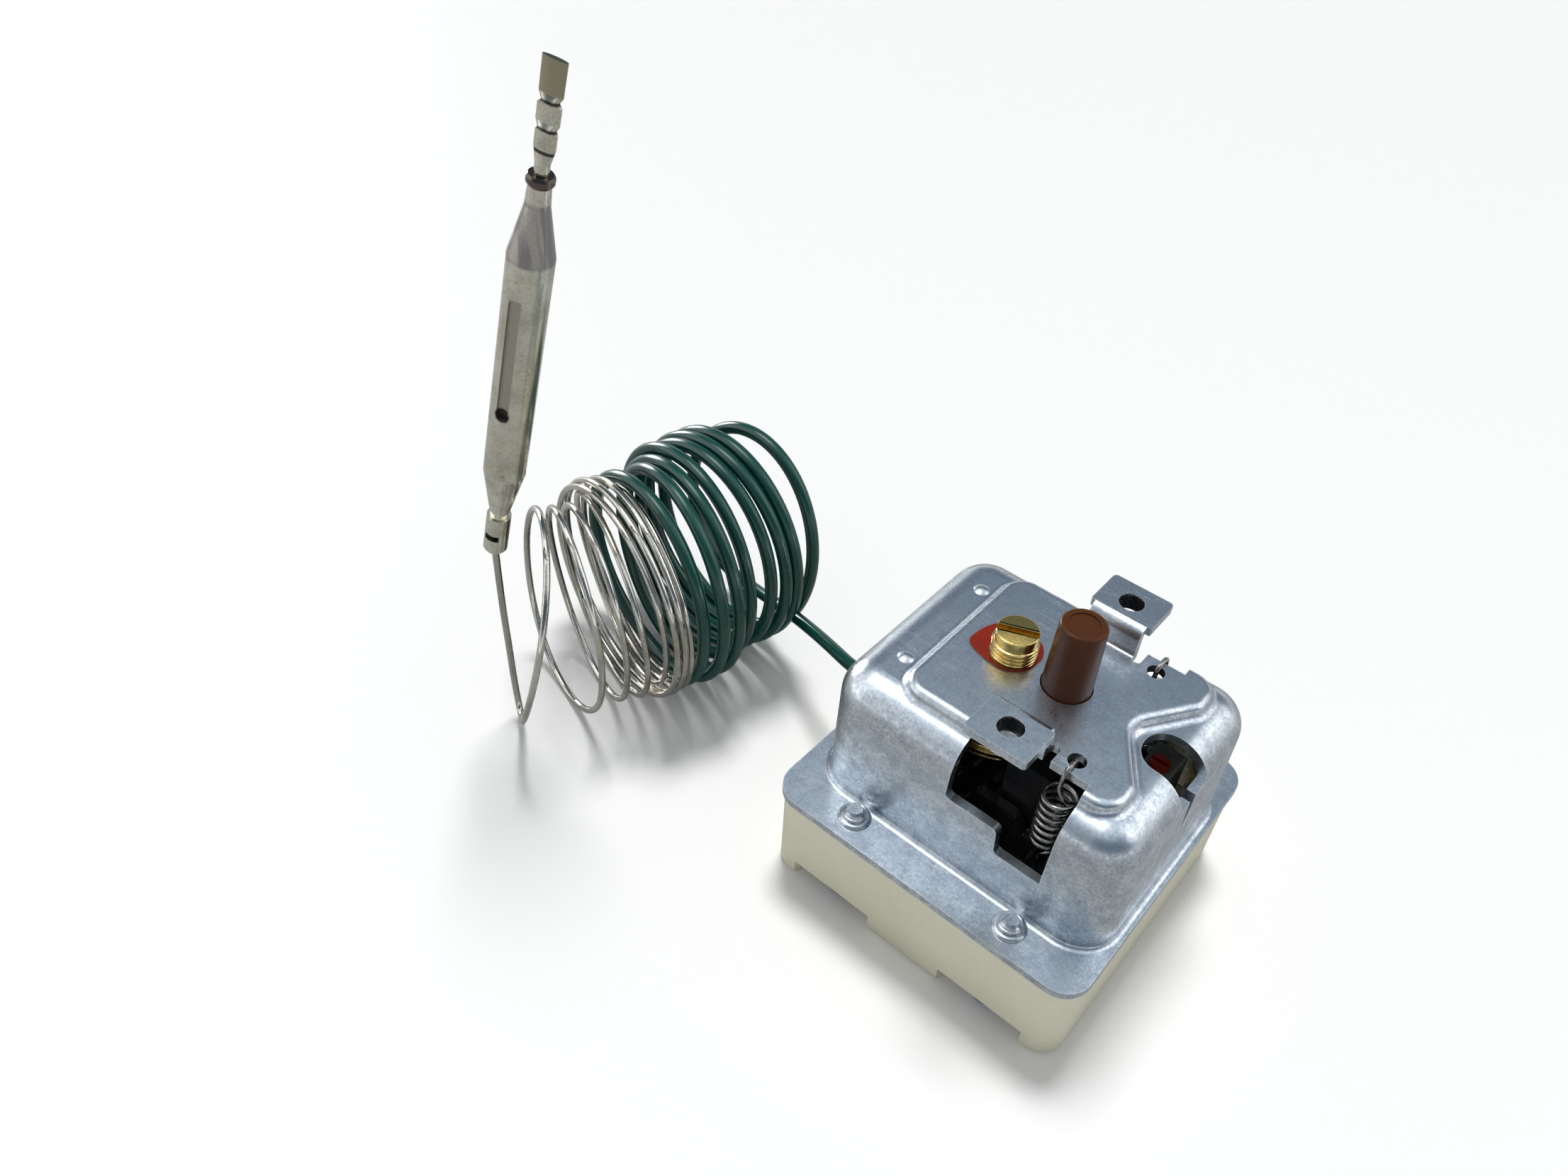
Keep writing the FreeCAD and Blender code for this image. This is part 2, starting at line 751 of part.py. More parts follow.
def lacquer_seal():
    # A smear of sealing lacquer on the plateau, round the adjusting screw.
    outline = [(-5.4, -1.4), (-5.2, 0.6), (-3.9, 3.4), (0.1, 4.5), (3.0, 2.4), (3.2, -0.6), (1.2, -3.2), (-2.2, -3.3)]
    points = [V(adjust_x + x, y, plateau_z) for x, y in outline]
    curve = Part.BSplineCurve()
    curve.interpolate(points, PeriodicFlag=True)
    patch = Part.Face(Part.Wire([curve.toShape()])).extrude(V(0, 0, lacquer_t))
    return patch.cut(rod(adjust_x, 0, plateau_z - 1, plateau_z + 1, adjust_r))


def reset_button():
    top = plateau_z + button_stand
    body = turned([(0, collar_foot_z), (button_collar_r, collar_foot_z), (button_collar_r, collar_top_z),
                   (button_foot_r, collar_top_z), (button_foot_r, plateau_z), (button_top_r, top), (0, top)],
                  button_x, 0)
    body = body.makeFillet(button_edge_r, edges_at(body, top))
    dish = rod(button_x, 0, top - button_dish_depth, top + 1, button_dish_r)
    socket = rod(reset_rod_x, 0, collar_foot_z - 1, collar_foot_z + reset_socket_depth, reset_rod_r)
    return body.cut(dish).cut(socket)


def reset_rod():
    foot = lever_top_z + button_travel + reset_rod_clear
    body = rod(reset_rod_x, 0, foot, collar_foot_z + reset_socket_depth, reset_rod_r)
    return body.makeFillet(0.3, edges_at(body, foot))


def reset_spring():
    return coil_wire(reset_rod_x, 0, frame_top_z + reset_wire_r, collar_foot_z - reset_wire_r,
                     reset_turns, reset_coil_r, reset_wire_r)


# Capsule, lever and springs


def diaphragm_capsule():
    rim_foot = capsule_rim_z - capsule_rim_t
    return turned([(0, capsule_foot_z), (capsule_boss_r, capsule_foot_z), (capsule_boss_r + 1.0, rim_foot - 0.5),
                   (capsule_r - 1.5, rim_foot - 0.5), (capsule_r - 0.8, rim_foot), (capsule_r, rim_foot),
                   (capsule_r, capsule_rim_z), (capsule_r - 0.8, capsule_rim_z), (capsule_r - 1.5, capsule_rim_z + 0.5),
                   (capsule_boss_r + 1.0, capsule_rim_z + 0.5), (capsule_boss_r, capsule_top_z),
                   (capsule_boss_r, adjust_foot_z), (0, adjust_foot_z)], adjust_x, 0)


def thrust_pin():
    return turned([(0, lever_top_z), (thrust_r * 0.6, lever_top_z), (thrust_r, lever_top_z + 0.5),
                   (thrust_r, capsule_foot_z), (0, capsule_foot_z)], adjust_x, 0)


def cross_rod(r, x, z):
    # A rod along Y, as long as the base is deep.
    return Part.makeCylinder(r, flange_y, V(x, -half_y, z), V(0, 1, 0))


def wing_outline():
    peak = lever_top_z + wing_peak_rise
    step = lever_top_z + wing_step_rise
    return [
        (wing_x0, step, 0.5), (wing_peak_x0, peak, 0.8), (wing_peak_x1, peak, 0.8), (wing_step_x, step, 0.6),
        (lever_right_x, step, 0.5), (lever_right_x, lever_beam_z0, 0), (wing_foot_x1, lever_beam_z0, 1.0),
        (wing_foot_x0, lever_top_z - wing_foot_drop, 1.0),
    ]


def rocker_lever():
    half_web = lever_web / 2
    web = side_prism([(lever_left_x, lever_bottom_z + 1.5, 1.0), (lever_left_x, lever_top_z - finger_clear, 0.8),
                      (lever_right_x, lever_top_z - finger_clear, 0.8), (lever_right_x, lever_beam_z0, 0.5),
                      (lever_beam_x0, lever_bottom_z, 1.0), (pivot_x, lever_bottom_z, 0)], -half_web, half_web)
    boss_reach = half_web + pivot_boss_side
    boss = Part.makeCylinder(pivot_boss_r, 2 * boss_reach, V(pivot_x, -boss_reach, pivot_z), V(0, 1, 0))
    reach = pole_pitch + finger_w / 2
    beam = box(lever_beam_x0, lever_right_x, -reach, reach, lever_beam_z0, lever_beam_z1)
    pieces = [web, boss, beam]
    for side in sides:
        y0, y1 = sorted((side * (wing_y - wing_t / 2), side * (wing_y + wing_t / 2)))
        pieces.append(side_prism(wing_outline(), y0, y1))
    for y in pole_ys:
        x1 = lever_right_x
        pieces.append(box(x1 - finger_t, x1, y - finger_w / 2, y + finger_w / 2, finger_z, lever_beam_z0 + 0.5))
    body = join(pieces)
    body = body.cut(cross_rod(pivot_r + pivot_play, pivot_x, pivot_z))
    eyes = cross_rod(hook_eye_r, hook_hole_x, hook_eye_z)
    eyes = eyes.cut(box(0, half_x, -boss_reach, boss_reach, base_h, strip_z))
    return body.cut(eyes)


def pivot_pin():
    reach = frame_inner_y + frame_t + 0.4
    return Part.makeCylinder(pivot_r, 2 * reach, V(pivot_x, -reach, pivot_z), V(0, 1, 0))


def bearing_frame():
    pieces = []
    for side in sides:
        y0, y1 = sorted((side * frame_inner_y, side * (frame_inner_y + frame_t)))
        pieces.append(side_prism([(frame_x0, base_h, 0), (frame_x1, base_h, 0), (frame_x1, frame_top_z, 1.0),
                                  (frame_bridge_x0, frame_top_z, 0), (frame_bridge_x0, pivot_z + frame_step_rise, 1.0),
                                  (frame_x0, pivot_z + frame_ear_rise, 1.5)], y0, y1))
    reach = frame_inner_y + frame_t
    pieces.append(box(frame_bridge_x0, frame_x1, -reach, reach, frame_top_z - frame_bridge_t, frame_top_z))
    body = join(pieces)
    body = body.cut(rod(reset_rod_x, 0, frame_top_z - 3, frame_top_z + 1, reset_rod_r + reset_rod_gap))
    return body.cut(cross_rod(pivot_r, pivot_x, pivot_z))


def extension_spring():
    # The front spring: close coils, a hook over the cover's edge and a hook
    # through the eye of the lever's wing.
    x = hook_hole_x
    y = -wing_y
    coils = coil_wire(x, y, spring_z0, spring_z1, spring_turns, spring_coil_r, spring_wire_r)
    start = (x + spring_coil_r, y, spring_z0)
    loop = 1.5
    eye = hook_eye_z - hook_eye_r + spring_wire_r + 0.35
    low = tube_along([start, (x + 1.0, y - 1.3, spring_z0 - 0.4), (x, y - loop, spring_z0 - 1.5),
                      (x, y - 1.1, eye), (x, y + 1.1, eye), (x, y + loop, spring_z0 - 1.6)], spring_wire_r)
    end = (x + spring_coil_r, y, spring_z1)
    top = plateau_z + spring_wire_r + 0.35
    over = -window_top_y - 0.8
    high = tube_along([end, (x + 1.2, y - 1.2, spring_z1 + 0.5), (x, over - 0.3, spring_z1 + 2.0),
                       (x, over, top), (x, -hook_hole_y - 0.2, top), (x, -hook_hole_y, under_plateau_z - 0.3)],
                      spring_wire_r)
    return coils.fuse(low).fuse(high)


def calibration_block():
    body = box(block_x0, block_x1, -block_half_y, block_half_y, base_h, block_top_z)
    body = body.makeFillet(0.5, edges_at(body, block_top_z))
    wall_x = block_x1 - block_wall
    body = body.cut(box(block_x0 - 1, wall_x, block_wall - block_half_y, -block_wall / 2,
                        block_top_z - block_pocket_depth, block_top_z + 1))
    body = body.cut(box(block_x0 - 1, wall_x, -pole_chamber / 2, pole_chamber / 2, base_h - 1,
                        flange_z + block_arch_rise))
    return body.cut(rod(seal_screw_x, seal_screw_y, block_top_z - seal_screw_depth, block_top_z + 1, seal_screw_r))


def calibration_screw():
    top = block_top_z + seal_screw_stand
    body = rod(seal_screw_x, seal_screw_y, block_top_z - seal_screw_depth, top, seal_screw_r)
    slot = box(seal_screw_x - 2 * seal_screw_r, seal_screw_x + 2 * seal_screw_r,
               seal_screw_y - 0.25, seal_screw_y + 0.25, top - 0.6, top + 1)
    return body.cut(slot)


# Capillary, sleeve, coils and bulb


def along_bulb(s):
    return V(*bulb_foot) + V(*bulb_lean).normalize() * s


def bulb_piece(profile):
    # Turned about the bulb's own axis, from (distance, radius) points.
    points = [V(r, 0, s) for s, r in profile]
    face = Part.Face(Part.makePolygon(points + [points[0]]))
    return face.revolve(V(0, 0, 0), V(0, 0, 1), 360)


def stand_on_bulb_axis(shape, spin=0.0):
    turn = FreeCAD.Rotation(V(0, 0, 1), V(*bulb_lean)).multiply(FreeCAD.Rotation(V(0, 0, 1), spin))
    placed = shape.copy()
    placed.Placement = FreeCAD.Placement(V(*bulb_foot), turn)
    return placed


groove_facing = -70.0


def bulb():
    body = bulb_piece([(clip_length - 1.5, 0), (clip_length - 1.5, bulb_neck_r), (bulb_cone_start + 1.0, bulb_neck_r),
                       (bulb_start, bulb_r), (bulb_end, bulb_r), (bulb_shoulder, bulb_top_neck_r),
                       (bulb_neck_end, bulb_top_neck_r - 0.15), (bulb_neck_end, 0)])
    deep = bulb_r - bulb_groove_depth
    groove = Part.makeCylinder(bulb_groove_r, 3, V(deep, 0, bulb_groove_end), V(1, 0, 0))
    groove = groove.fuse(Part.makeCylinder(bulb_groove_r, 3, V(deep, 0, bulb_groove_start), V(1, 0, 0)))
    groove = groove.fuse(box(deep, deep + 3, -bulb_groove_r, bulb_groove_r, bulb_groove_start, bulb_groove_end))
    dimple_cut = Part.makeCylinder(bulb_dimple_r, 3, V(deep - 0.35, 0, bulb_groove_start), V(1, 0, 0))
    return stand_on_bulb_axis(body.cut(groove).cut(dimple_cut), groove_facing)


def bulb_clip():
    body = bulb_piece([(0, capillary_r), (0, clip_r - 0.4), (0.6, clip_r), (clip_length, clip_r),
                       (clip_length, bulb_neck_r), (clip_length - 1.5, bulb_neck_r), (clip_length - 1.5, capillary_r)])
    slot_z = clip_length * 0.42
    body = body.cut(box(0, clip_r + 1, -1.0, 1.0, slot_z, slot_z + clip_slot_h))
    return stand_on_bulb_axis(body, groove_facing)


def fill_collar():
    ring = bulb_piece([(bulb_neck_end, fill_tube_r), (bulb_neck_end, collar_ring_r - 0.2),
                       (bulb_neck_end + 0.3, collar_ring_r), (bulb_neck_end + collar_ring_t - 0.3, collar_ring_r),
                       (bulb_neck_end + collar_ring_t, collar_ring_r - 0.2),
                       (bulb_neck_end + collar_ring_t, fill_tube_r)])
    return stand_on_bulb_axis(ring)


def fill_tube():
    # The filling tube: round at its foot, then crimped flat in three steps.
    start = bulb_neck_end
    stations = [(start, fill_tube_r, fill_tube_r), (start + 2.4, fill_tube_r, fill_tube_r),
                (start + 4.2, 1.3, 0.5), (start + 6.0, 1.3, 0.5), (start + 6.3, 1.05, 0.75),
                (start + 7.0, 1.4, 0.45), (start + 8.9, 1.4, 0.45), (start + 9.3, 1.0, 0.75),
                (start + 10.0, 1.4, 0.4), (fill_tube_end, 1.45, 0.35)]
    wires = []
    for s, wide, thick in stations:
        if wide > thick:
            ellipse = Part.Ellipse(V(0, 0, s), wide, thick)
        else:
            ellipse = Part.Circle(V(0, 0, s), V(0, 0, 1), wide)
        wires.append(Part.Wire([ellipse.toShape()]))
    body = Part.makeLoft(wires, True, True)
    return stand_on_bulb_axis(body, groove_facing + 90)


def ring_along(start, length, outer_r, wire_r):
    # The outer shape of a coil that lies on its side, open in the middle.
    heading = V(math.cos(math.radians(coil_turn_deg)), math.sin(math.radians(coil_turn_deg)), 0)
    centre = V(start[0], start[1], outer_r + 0.02)
    inner_r = outer_r - 2.4 * wire_r
    outer = Part.makeCylinder(outer_r, length, centre, heading)
    return outer.cut(Part.makeCylinder(inner_r, length, centre, heading))


def coil_point(distance):
    turn = math.radians(coil_turn_deg)
    return (coil_start[0] + distance * math.cos(turn), coil_start[1] + distance * math.sin(turn))


def steel_coil():
    return ring_along(coil_start, steel_coil_length, steel_coil_r, capillary_r)


def green_coil():
    return ring_along(coil_point(steel_coil_length + coil_gap), green_coil_length, green_coil_r, sleeve_r)


# The sleeved lead, from the cover's end wall to the far end of the green coil.
sleeve_route = [
    (-20.0, 0.0, sleeve_exit_z), (-27.0, 0.0, sleeve_exit_z), (-36.0, 3.9, 14.4), (-46.0, 8.2, 10.4),
    (-56.0, 11.6, 6.4), (-67.0, 10.6, 2.9),
]

# The bare capillary, from the coil round to the floor and up to the bulb.
tail_route = [
    (-67.5, -22.1, 33.4), (-61.5, -27.3, 31.4), (-58.2, -32.0, 25.0), (-58.0, -33.9, 15.5), (-61.8, -33.6, 7.0),
    (-68.2, -30.2, 1.0), (-69.8, -29.4, 6.0), (-70.3, -29.0, 14.0), (-70.8, -28.7, 23.0), (-70.9, -28.3, 32.5),
]


def sleeve_lead():
    return tube_along(sleeve_route, sleeve_r, "sleeve_lead")


def steel_tail():
    return tube_along(tail_route, capillary_r, "steel_tail")


def inner_capillary():
    # From the end of the sleeve inside the cover, up and over to the capsule.
    rim = (capsule_rim_z - capsule_rim_t / 2)
    x = wall_x0 + sheet + 1.6
    route = [(sleeve_route[0][0], 0, sleeve_exit_z), (x + 0.6, 0, sleeve_exit_z), (x + 0.6, 0, sleeve_exit_z + 5),
             (x, 0, rim), (adjust_x - capsule_r, 0, rim)]
    return tube_along(route, capillary_r)


nodes = {
    "ceramic_base": ceramic_base,
    "cover": cover,
    "flange_screws": flange_screws,
    "terminal_screws": terminal_screws,
    "wire_clamps": wire_clamps,
    "blade_rivets": blade_rivets,
    "fixed_contacts": fixed_contacts,
    "moving_contacts": moving_contacts,
    "adjusting_screw": adjusting_screw,
    "lacquer_seal": lacquer_seal,
    "reset_button": reset_button,
    "reset_rod": reset_rod,
    "reset_spring": reset_spring,
    "diaphragm_capsule": diaphragm_capsule,
    "thrust_pin": thrust_pin,
    "rocker_lever": rocker_lever,
    "pivot_pin": pivot_pin,
    "bearing_frame": bearing_frame,
    "spring_front": extension_spring,
    "spring_rear": lambda: mirror_y(extension_spring()),
    "calibration_block": calibration_block,
    "calibration_screw": calibration_screw,
    "inner_capillary": inner_capillary,
    "sleeve_lead": sleeve_lead,
    "green_coil": green_coil,
    "steel_coil": steel_coil,
    "steel_tail": steel_tail,
    "bulb_clip": bulb_clip,
    "bulb": bulb,
    "fill_collar": fill_collar,
    "fill_tube": fill_tube,
}
for number, pole_y in enumerate(pole_ys, 1):
    nodes["terminal_in_%d" % number] = lambda y=pole_y: terminal(-1, y)
    nodes["terminal_out_%d" % number] = lambda y=pole_y: terminal(1, y)
    nodes["contact_blade_%d" % number] = lambda y=pole_y: contact_blade(y)

os.makedirs("parts", exist_ok=True)
for name, make in nodes.items():
    shape = make()
    print(name, "solids", len(shape.Solids), "valid", shape.isValid(), "volume %.1f" % shape.Volume)
    shape.exportStep("parts/" + name + ".step")
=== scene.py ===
import json
import math

import bmesh
import bpy
from mathutils import Matrix, Vector


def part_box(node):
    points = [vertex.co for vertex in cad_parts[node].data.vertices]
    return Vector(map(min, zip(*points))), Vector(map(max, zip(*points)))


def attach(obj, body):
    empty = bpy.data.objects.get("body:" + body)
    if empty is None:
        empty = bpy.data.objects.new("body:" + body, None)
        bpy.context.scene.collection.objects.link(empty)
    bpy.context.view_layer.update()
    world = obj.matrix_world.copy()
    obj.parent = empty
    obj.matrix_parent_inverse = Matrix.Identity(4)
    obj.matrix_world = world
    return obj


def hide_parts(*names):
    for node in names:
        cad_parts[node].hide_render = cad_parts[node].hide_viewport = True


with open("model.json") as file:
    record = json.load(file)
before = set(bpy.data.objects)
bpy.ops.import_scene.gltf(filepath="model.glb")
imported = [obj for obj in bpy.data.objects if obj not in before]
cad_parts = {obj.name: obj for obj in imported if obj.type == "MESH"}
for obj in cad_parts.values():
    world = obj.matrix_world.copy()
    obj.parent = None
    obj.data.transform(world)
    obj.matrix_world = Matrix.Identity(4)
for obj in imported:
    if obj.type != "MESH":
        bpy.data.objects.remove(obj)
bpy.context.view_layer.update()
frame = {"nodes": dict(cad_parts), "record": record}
nodes = frame["nodes"]
mm = 0.001
print("frame loaded:", len(nodes), "nodes")


def spot(x, y, z):
    # a place in millimetres, as metres
    return Vector((x, y, z)) * mm


# Camera: fitted to the flange, the cover, the tabs and the button

viewpoint = {
    "place": (38.05, -99.98, 143.78),
    "turn": (46.944, -2.504, 40.878),
    "lens": 27.42,
    "sensor": 36.0,
}


def addCamera(view):
    data = bpy.data.cameras.new("photoCamera")
    data.lens = view["lens"]
    data.sensor_width = view["sensor"]
    data.clip_start = 0.005
    data.clip_end = 20.0
    camera = bpy.data.objects.new("photoCamera", data)
    camera.location = spot(*view["place"])
    camera.rotation_euler = [math.radians(a) for a in view["turn"]]
    bpy.context.scene.collection.objects.link(camera)
    bpy.context.scene.camera = camera


addCamera(viewpoint)
print("camera placed")


# Capillary: the bulb's tail, the bare turns, the sleeved turns and the lead.
# Each station of the coil is (turn, centre x, centre y, half width, half
# height, heading of the coil's axis in degrees); the turns stand on the floor.

coil = {
    "stations": [
        (0.5, -72.0, -25.0, 16.6, 16.7, 31.5),
        (1.0, -67.7, -22.0, 15.3, 16.9, 59.0),
        (1.5, -66.9, -21.9, 14.1, 17.1, 72.5),
        (2.0, -66.4, -19.7, 13.3, 17.1, 69.5),
        (2.5, -64.4, -16.7, 13.0, 16.9, 69.0),
        (3.0, -66.2, -16.4, 13.2, 16.5, 70.0),
        (3.5, -64.0, -13.9, 14.2, 15.9, 70.0),
        (4.0, -66.6, -12.8, 15.8, 15.5, 68.0),
        (4.5, -66.8, -8.9, 17.4, 16.0, 66.0),
        (5.0, -65.0, -12.6, 18.1, 16.7, 73.5),
        (5.75, -64.5, -11.9, 18.0, 17.2, 75.0),
        (6.5, -63.9, -11.4, 17.8, 17.5, 75.5),
        (7.5, -63.6, -8.8, 17.8, 16.7, 72.0),
        (8.4, -63.3, -7.6, 16.9, 15.8, 71.5),
        (9.0, -62.3, -7.6, 16.5, 17.2, 79.5),
        (10.0, -60.2, -4.8, 16.0, 17.7, 76.5),
        (11.0, -60.6, -2.2, 16.2, 17.7, 79.0),
        (12.0, -62.2, 0.7, 16.3, 17.8, 83.0),
        (13.0, -61.0, 3.5, 16.1, 17.9, 86.5),
        (14.0, -60.7, 5.5, 16.7, 18.1, 86.5),
        (15.0, -60.2, 7.7, 16.3, 18.2, 86.0),
        (15.5, -60.1, 8.8, 15.7, 18.2, 85.0),
        (16.0, -58.9, 12.6, 15.0, 18.0, 92.0),
        (16.5, -56.8, 15.8, 14.5, 17.0, 100.0),
    ],
    "firstTurn": 0.605,
    "sleeveTurn": 8.58,
    "lastTurn": 16.4,
    "pointsPerTurn": 24,
    "wireRadius": 0.5,
    "sleeveRadius": 1.0,
}

# the sleeved lead, from the cover's end wall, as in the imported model
leadRoute = [
    (-20.0, 0.0, 17.2), (-27.0, 0.0, 17.2), (-36.0, 3.9, 14.4), (-46.0, 8.2, 10.4), (-56.0, 11.6, 6.4),
]

# the bare tail, from the bulb's clip down to the first turn
tailRoute = [
    (-70.9, -28.3, 32.5), (-70.8, -28.7, 23.0), (-70.3, -29.0, 14.0), (-69.8, -29.4, 6.0), (-68.2, -30.2, 1.0),
]


def slopes(turns, values):
    steps = [(values[i + 1] - values[i]) / (turns[i + 1] - turns[i]) for i in range(len(turns) - 1)]
    found = [steps[0]]
    for i in range(1, len(turns) - 1):
        before = turns[i] - turns[i - 1]
        after = turns[i + 1] - turns[i]
        found.append((steps[i - 1] * after + steps[i] * before) / (before + after))
    found.append(steps[-1])
    return found


def stationAt(turn):
    # the coil's five sizes at any turn, eased between its stations
    turns = [s[0] for s in coil["stations"]]
    i = max(k for k in range(len(turns) - 1) if turns[k] <= max(turn, turns[0]))
    width = turns[i + 1] - turns[i]
    t = (turn - turns[i]) / width
    sizes = []
    for column in range(1, 6):
        values = [s[column] for s in coil["stations"]]
        lean = slopes(turns, values)
        sizes.append((2 * t ** 3 - 3 * t ** 2 + 1) * values[i] + (t ** 3 - 2 * t ** 2 + t) * width * lean[i]
                     + (3 * t ** 2 - 2 * t ** 3) * values[i + 1] + (t ** 3 - t ** 2) * width * lean[i + 1])
    return sizes


def coilPoint(turn):
    x, y, halfWidth, halfHeight, heading = stationAt(turn)
    angle = 2 * math.pi * turn
    ease = 1 / (1 + math.exp(-(turn - coil["sleeveTurn"]) / 0.02))
    rest = coil["wireRadius"] + (coil["sleeveRadius"] - coil["wireRadius"]) * ease
    side = -math.sin(angle) * halfWidth
    towards = math.radians(heading)
    return (x + side * math.sin(towards), y - side * math.cos(towards), halfHeight * (1 + math.cos(angle)) + rest)


def coilPoints(first, last):
    count = max(2, round((last - first) * coil["pointsPerTurn"]))
    return [coilPoint(first + (last - first) * i / count) for i in range(count + 1)]


def cordCurve(name, points, radius):
    data = bpy.data.curves.new(name, "CURVE")
    data.dimensions = "3D"
    data.bevel_depth = radius  # each point's own radius, 1 mm, scales it and is added to the curve's box
    data.bevel_resolution = 6
    data.resolution_u = 6
    data.use_fill_caps = True
    line = data.splines.new("NURBS")
    line.points.add(len(points) - 1)
    for point, place in zip(line.points, points):
        point.co = (*spot(*place), 1.0)
        point.radius = mm
    line.order_u = 3
    line.use_endpoint_u = True
    piece = bpy.data.objects.new(name, data)
    bpy.context.scene.collection.objects.link(piece)
    return piece


def pathLength(points):
    places = [Vector(p) for p in points]
    return sum((b - a).length for a, b in zip(places, places[1:])) * mm


greenPoints = leadRoute + list(reversed(coilPoints(coil["sleeveTurn"], coil["lastTurn"])))
greenSleeve = cordCurve("greenSleeve", greenPoints, coil["sleeveRadius"])
steelPoints = list(reversed(coilPoints(coil["firstTurn"], coil["sleeveTurn"]))) + list(reversed(tailRoute))
bareCapillary = cordCurve("bareCapillary", steelPoints, coil["wireRadius"])
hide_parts("sleeve_lead", "green_coil")
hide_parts("steel_coil", "steel_tail")
for piece, slotName in ((greenSleeve, "green_sleeve"), (bareCapillary, "capillary_steel")):
    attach(piece, "housing")
print("cords laid: green %.3f m, bare %.3f m" % (pathLength(greenPoints), pathLength(steelPoints)))


# Node groups shared by the materials


def newGroup(name, inputs, outputs):
    group = bpy.data.node_groups.new(name, "ShaderNodeTree")
    for label, kind, value in inputs:
        socket = group.interface.new_socket(label, in_out="INPUT", socket_type=kind)
        if value is not None:
            socket.default_value = value
    for label, kind in outputs:
        group.interface.new_socket(label, in_out="OUTPUT", socket_type=kind)
    return group, group.nodes.new("NodeGroupInput"), group.nodes.new("NodeGroupOutput")


def wire(tree, source, target):
    tree.links.new(source, target)


def mathNode(tree, operation, a, b=None, clamp=False):
    node = tree.nodes.new("ShaderNodeMath")
    node.operation = operation
    node.use_clamp = clamp
    for socket, value in zip(node.inputs, (a, b)):
        if value is None:
            continue
        if isinstance(value, (int, float)):
            socket.default_value = value
        else:
            wire(tree, value, socket)
    return node.outputs[0]


def blendColours(tree, mode, factor, a, b):
    node = tree.nodes.new("ShaderNodeMix")
    node.data_type = "RGBA"
    node.blend_type = mode
    if isinstance(factor, (int, float)):
        node.inputs[0].default_value = factor
    else:
        wire(tree, factor, node.inputs[0])
    for index, value in ((6, a), (7, b)):
        if isinstance(value, tuple):
            node.inputs[index].default_value = (*value, 1.0)
        else:
            wire(tree, value, node.inputs[index])
    return node.outputs[2]


def ramp(tree, value, low, high):
    # a smooth 0 to 1 step between two values
    node = tree.nodes.new("ShaderNodeMapRange")
    node.interpolation_type = "SMOOTHSTEP"
    wire(tree, value, node.inputs["Value"])
    node.inputs["From Min"].default_value = low
    node.inputs["From Max"].default_value = high
    return node.outputs["Result"]


def between(tree, value, low, high):
    node = tree.nodes.new("ShaderNodeMapRange")
    wire(tree, value, node.inputs["Value"])
    node.inputs["To Min"].default_value = low
    node.inputs["To Max"].default_value = high
    return node.outputs["Result"]


def noise(tree, scale, detail=4.0, rough=0.55, stretch=None):
    place = tree.nodes.new("ShaderNodeTexCoord").outputs["Object"]
    if stretch:
        mapping = tree.nodes.new("ShaderNodeMapping")
        mapping.inputs["Scale"].default_value = stretch
        wire(tree, place, mapping.inputs["Vector"])
        place = mapping.outputs["Vector"]
    node = tree.nodes.new("ShaderNodeTexNoise")
    wire(tree, place, node.inputs["Vector"])
    if isinstance(scale, (int, float)):
        node.inputs["Scale"].default_value = scale
    else:
        wire(tree, scale, node.inputs["Scale"])
    node.inputs["Detail"].default_value = detail
    node.inputs["Roughness"].default_value = rough
    return node.outputs["Fac"]


def makeEdgeWear():
    # where an edge or a fold is, from a rounded normal; the metals paint a lighter colour there, partly edge wear and
    # partly a painted edge highlight
    group, given, result = newGroup(
        "edgeWearAndHighlight",
        [("Radius", "NodeSocketFloat", 0.0004), ("Break", "NodeSocketFloat", 2500.0)],
        [("Edge", "NodeSocketFloat")])
    bevel = group.nodes.new("ShaderNodeBevel")
    bevel.samples = 6
    wire(group, given.outputs["Radius"], bevel.inputs["Radius"])
    geometry = group.nodes.new("ShaderNodeNewGeometry")
    dot = group.nodes.new("ShaderNodeVectorMath")
    dot.operation = "DOT_PRODUCT"
    wire(group, bevel.outputs["Normal"], dot.inputs[0])
    wire(group, geometry.outputs["Normal"], dot.inputs[1])
    bent = mathNode(group, "SUBTRACT", 1.0, dot.outputs["Value"])
    sharp = ramp(group, bent, 0.015, 0.14)
    grain = noise(group, given.outputs["Break"], 3.0)
    broken = between(group, ramp(group, grain, 0.30, 0.55), 0.45, 1.0)
    wire(group, mathNode(group, "MULTIPLY", sharp, broken), result.inputs["Edge"])
    return group


def makeMottle():
    # soft patches and fine grain over each other
    group, given, result = newGroup(
        "mottle",
        [("Patch", "NodeSocketFloat", 120.0), ("Grain", "NodeSocketFloat", 3000.0),
         ("Share", "NodeSocketFloat", 0.5)],
        [("Value", "NodeSocketFloat")])
    patch = noise(group, given.outputs["Patch"], 5.0, 0.6)
    grain = noise(group, given.outputs["Grain"], 2.0, 0.6)
    mixed = group.nodes.new("ShaderNodeMix")
    wire(group, given.outputs["Share"], mixed.inputs[0])
    wire(group, patch, mixed.inputs[2])
    wire(group, grain, mixed.inputs[3])
    wire(group, mixed.outputs[0], result.inputs["Value"])
    return group


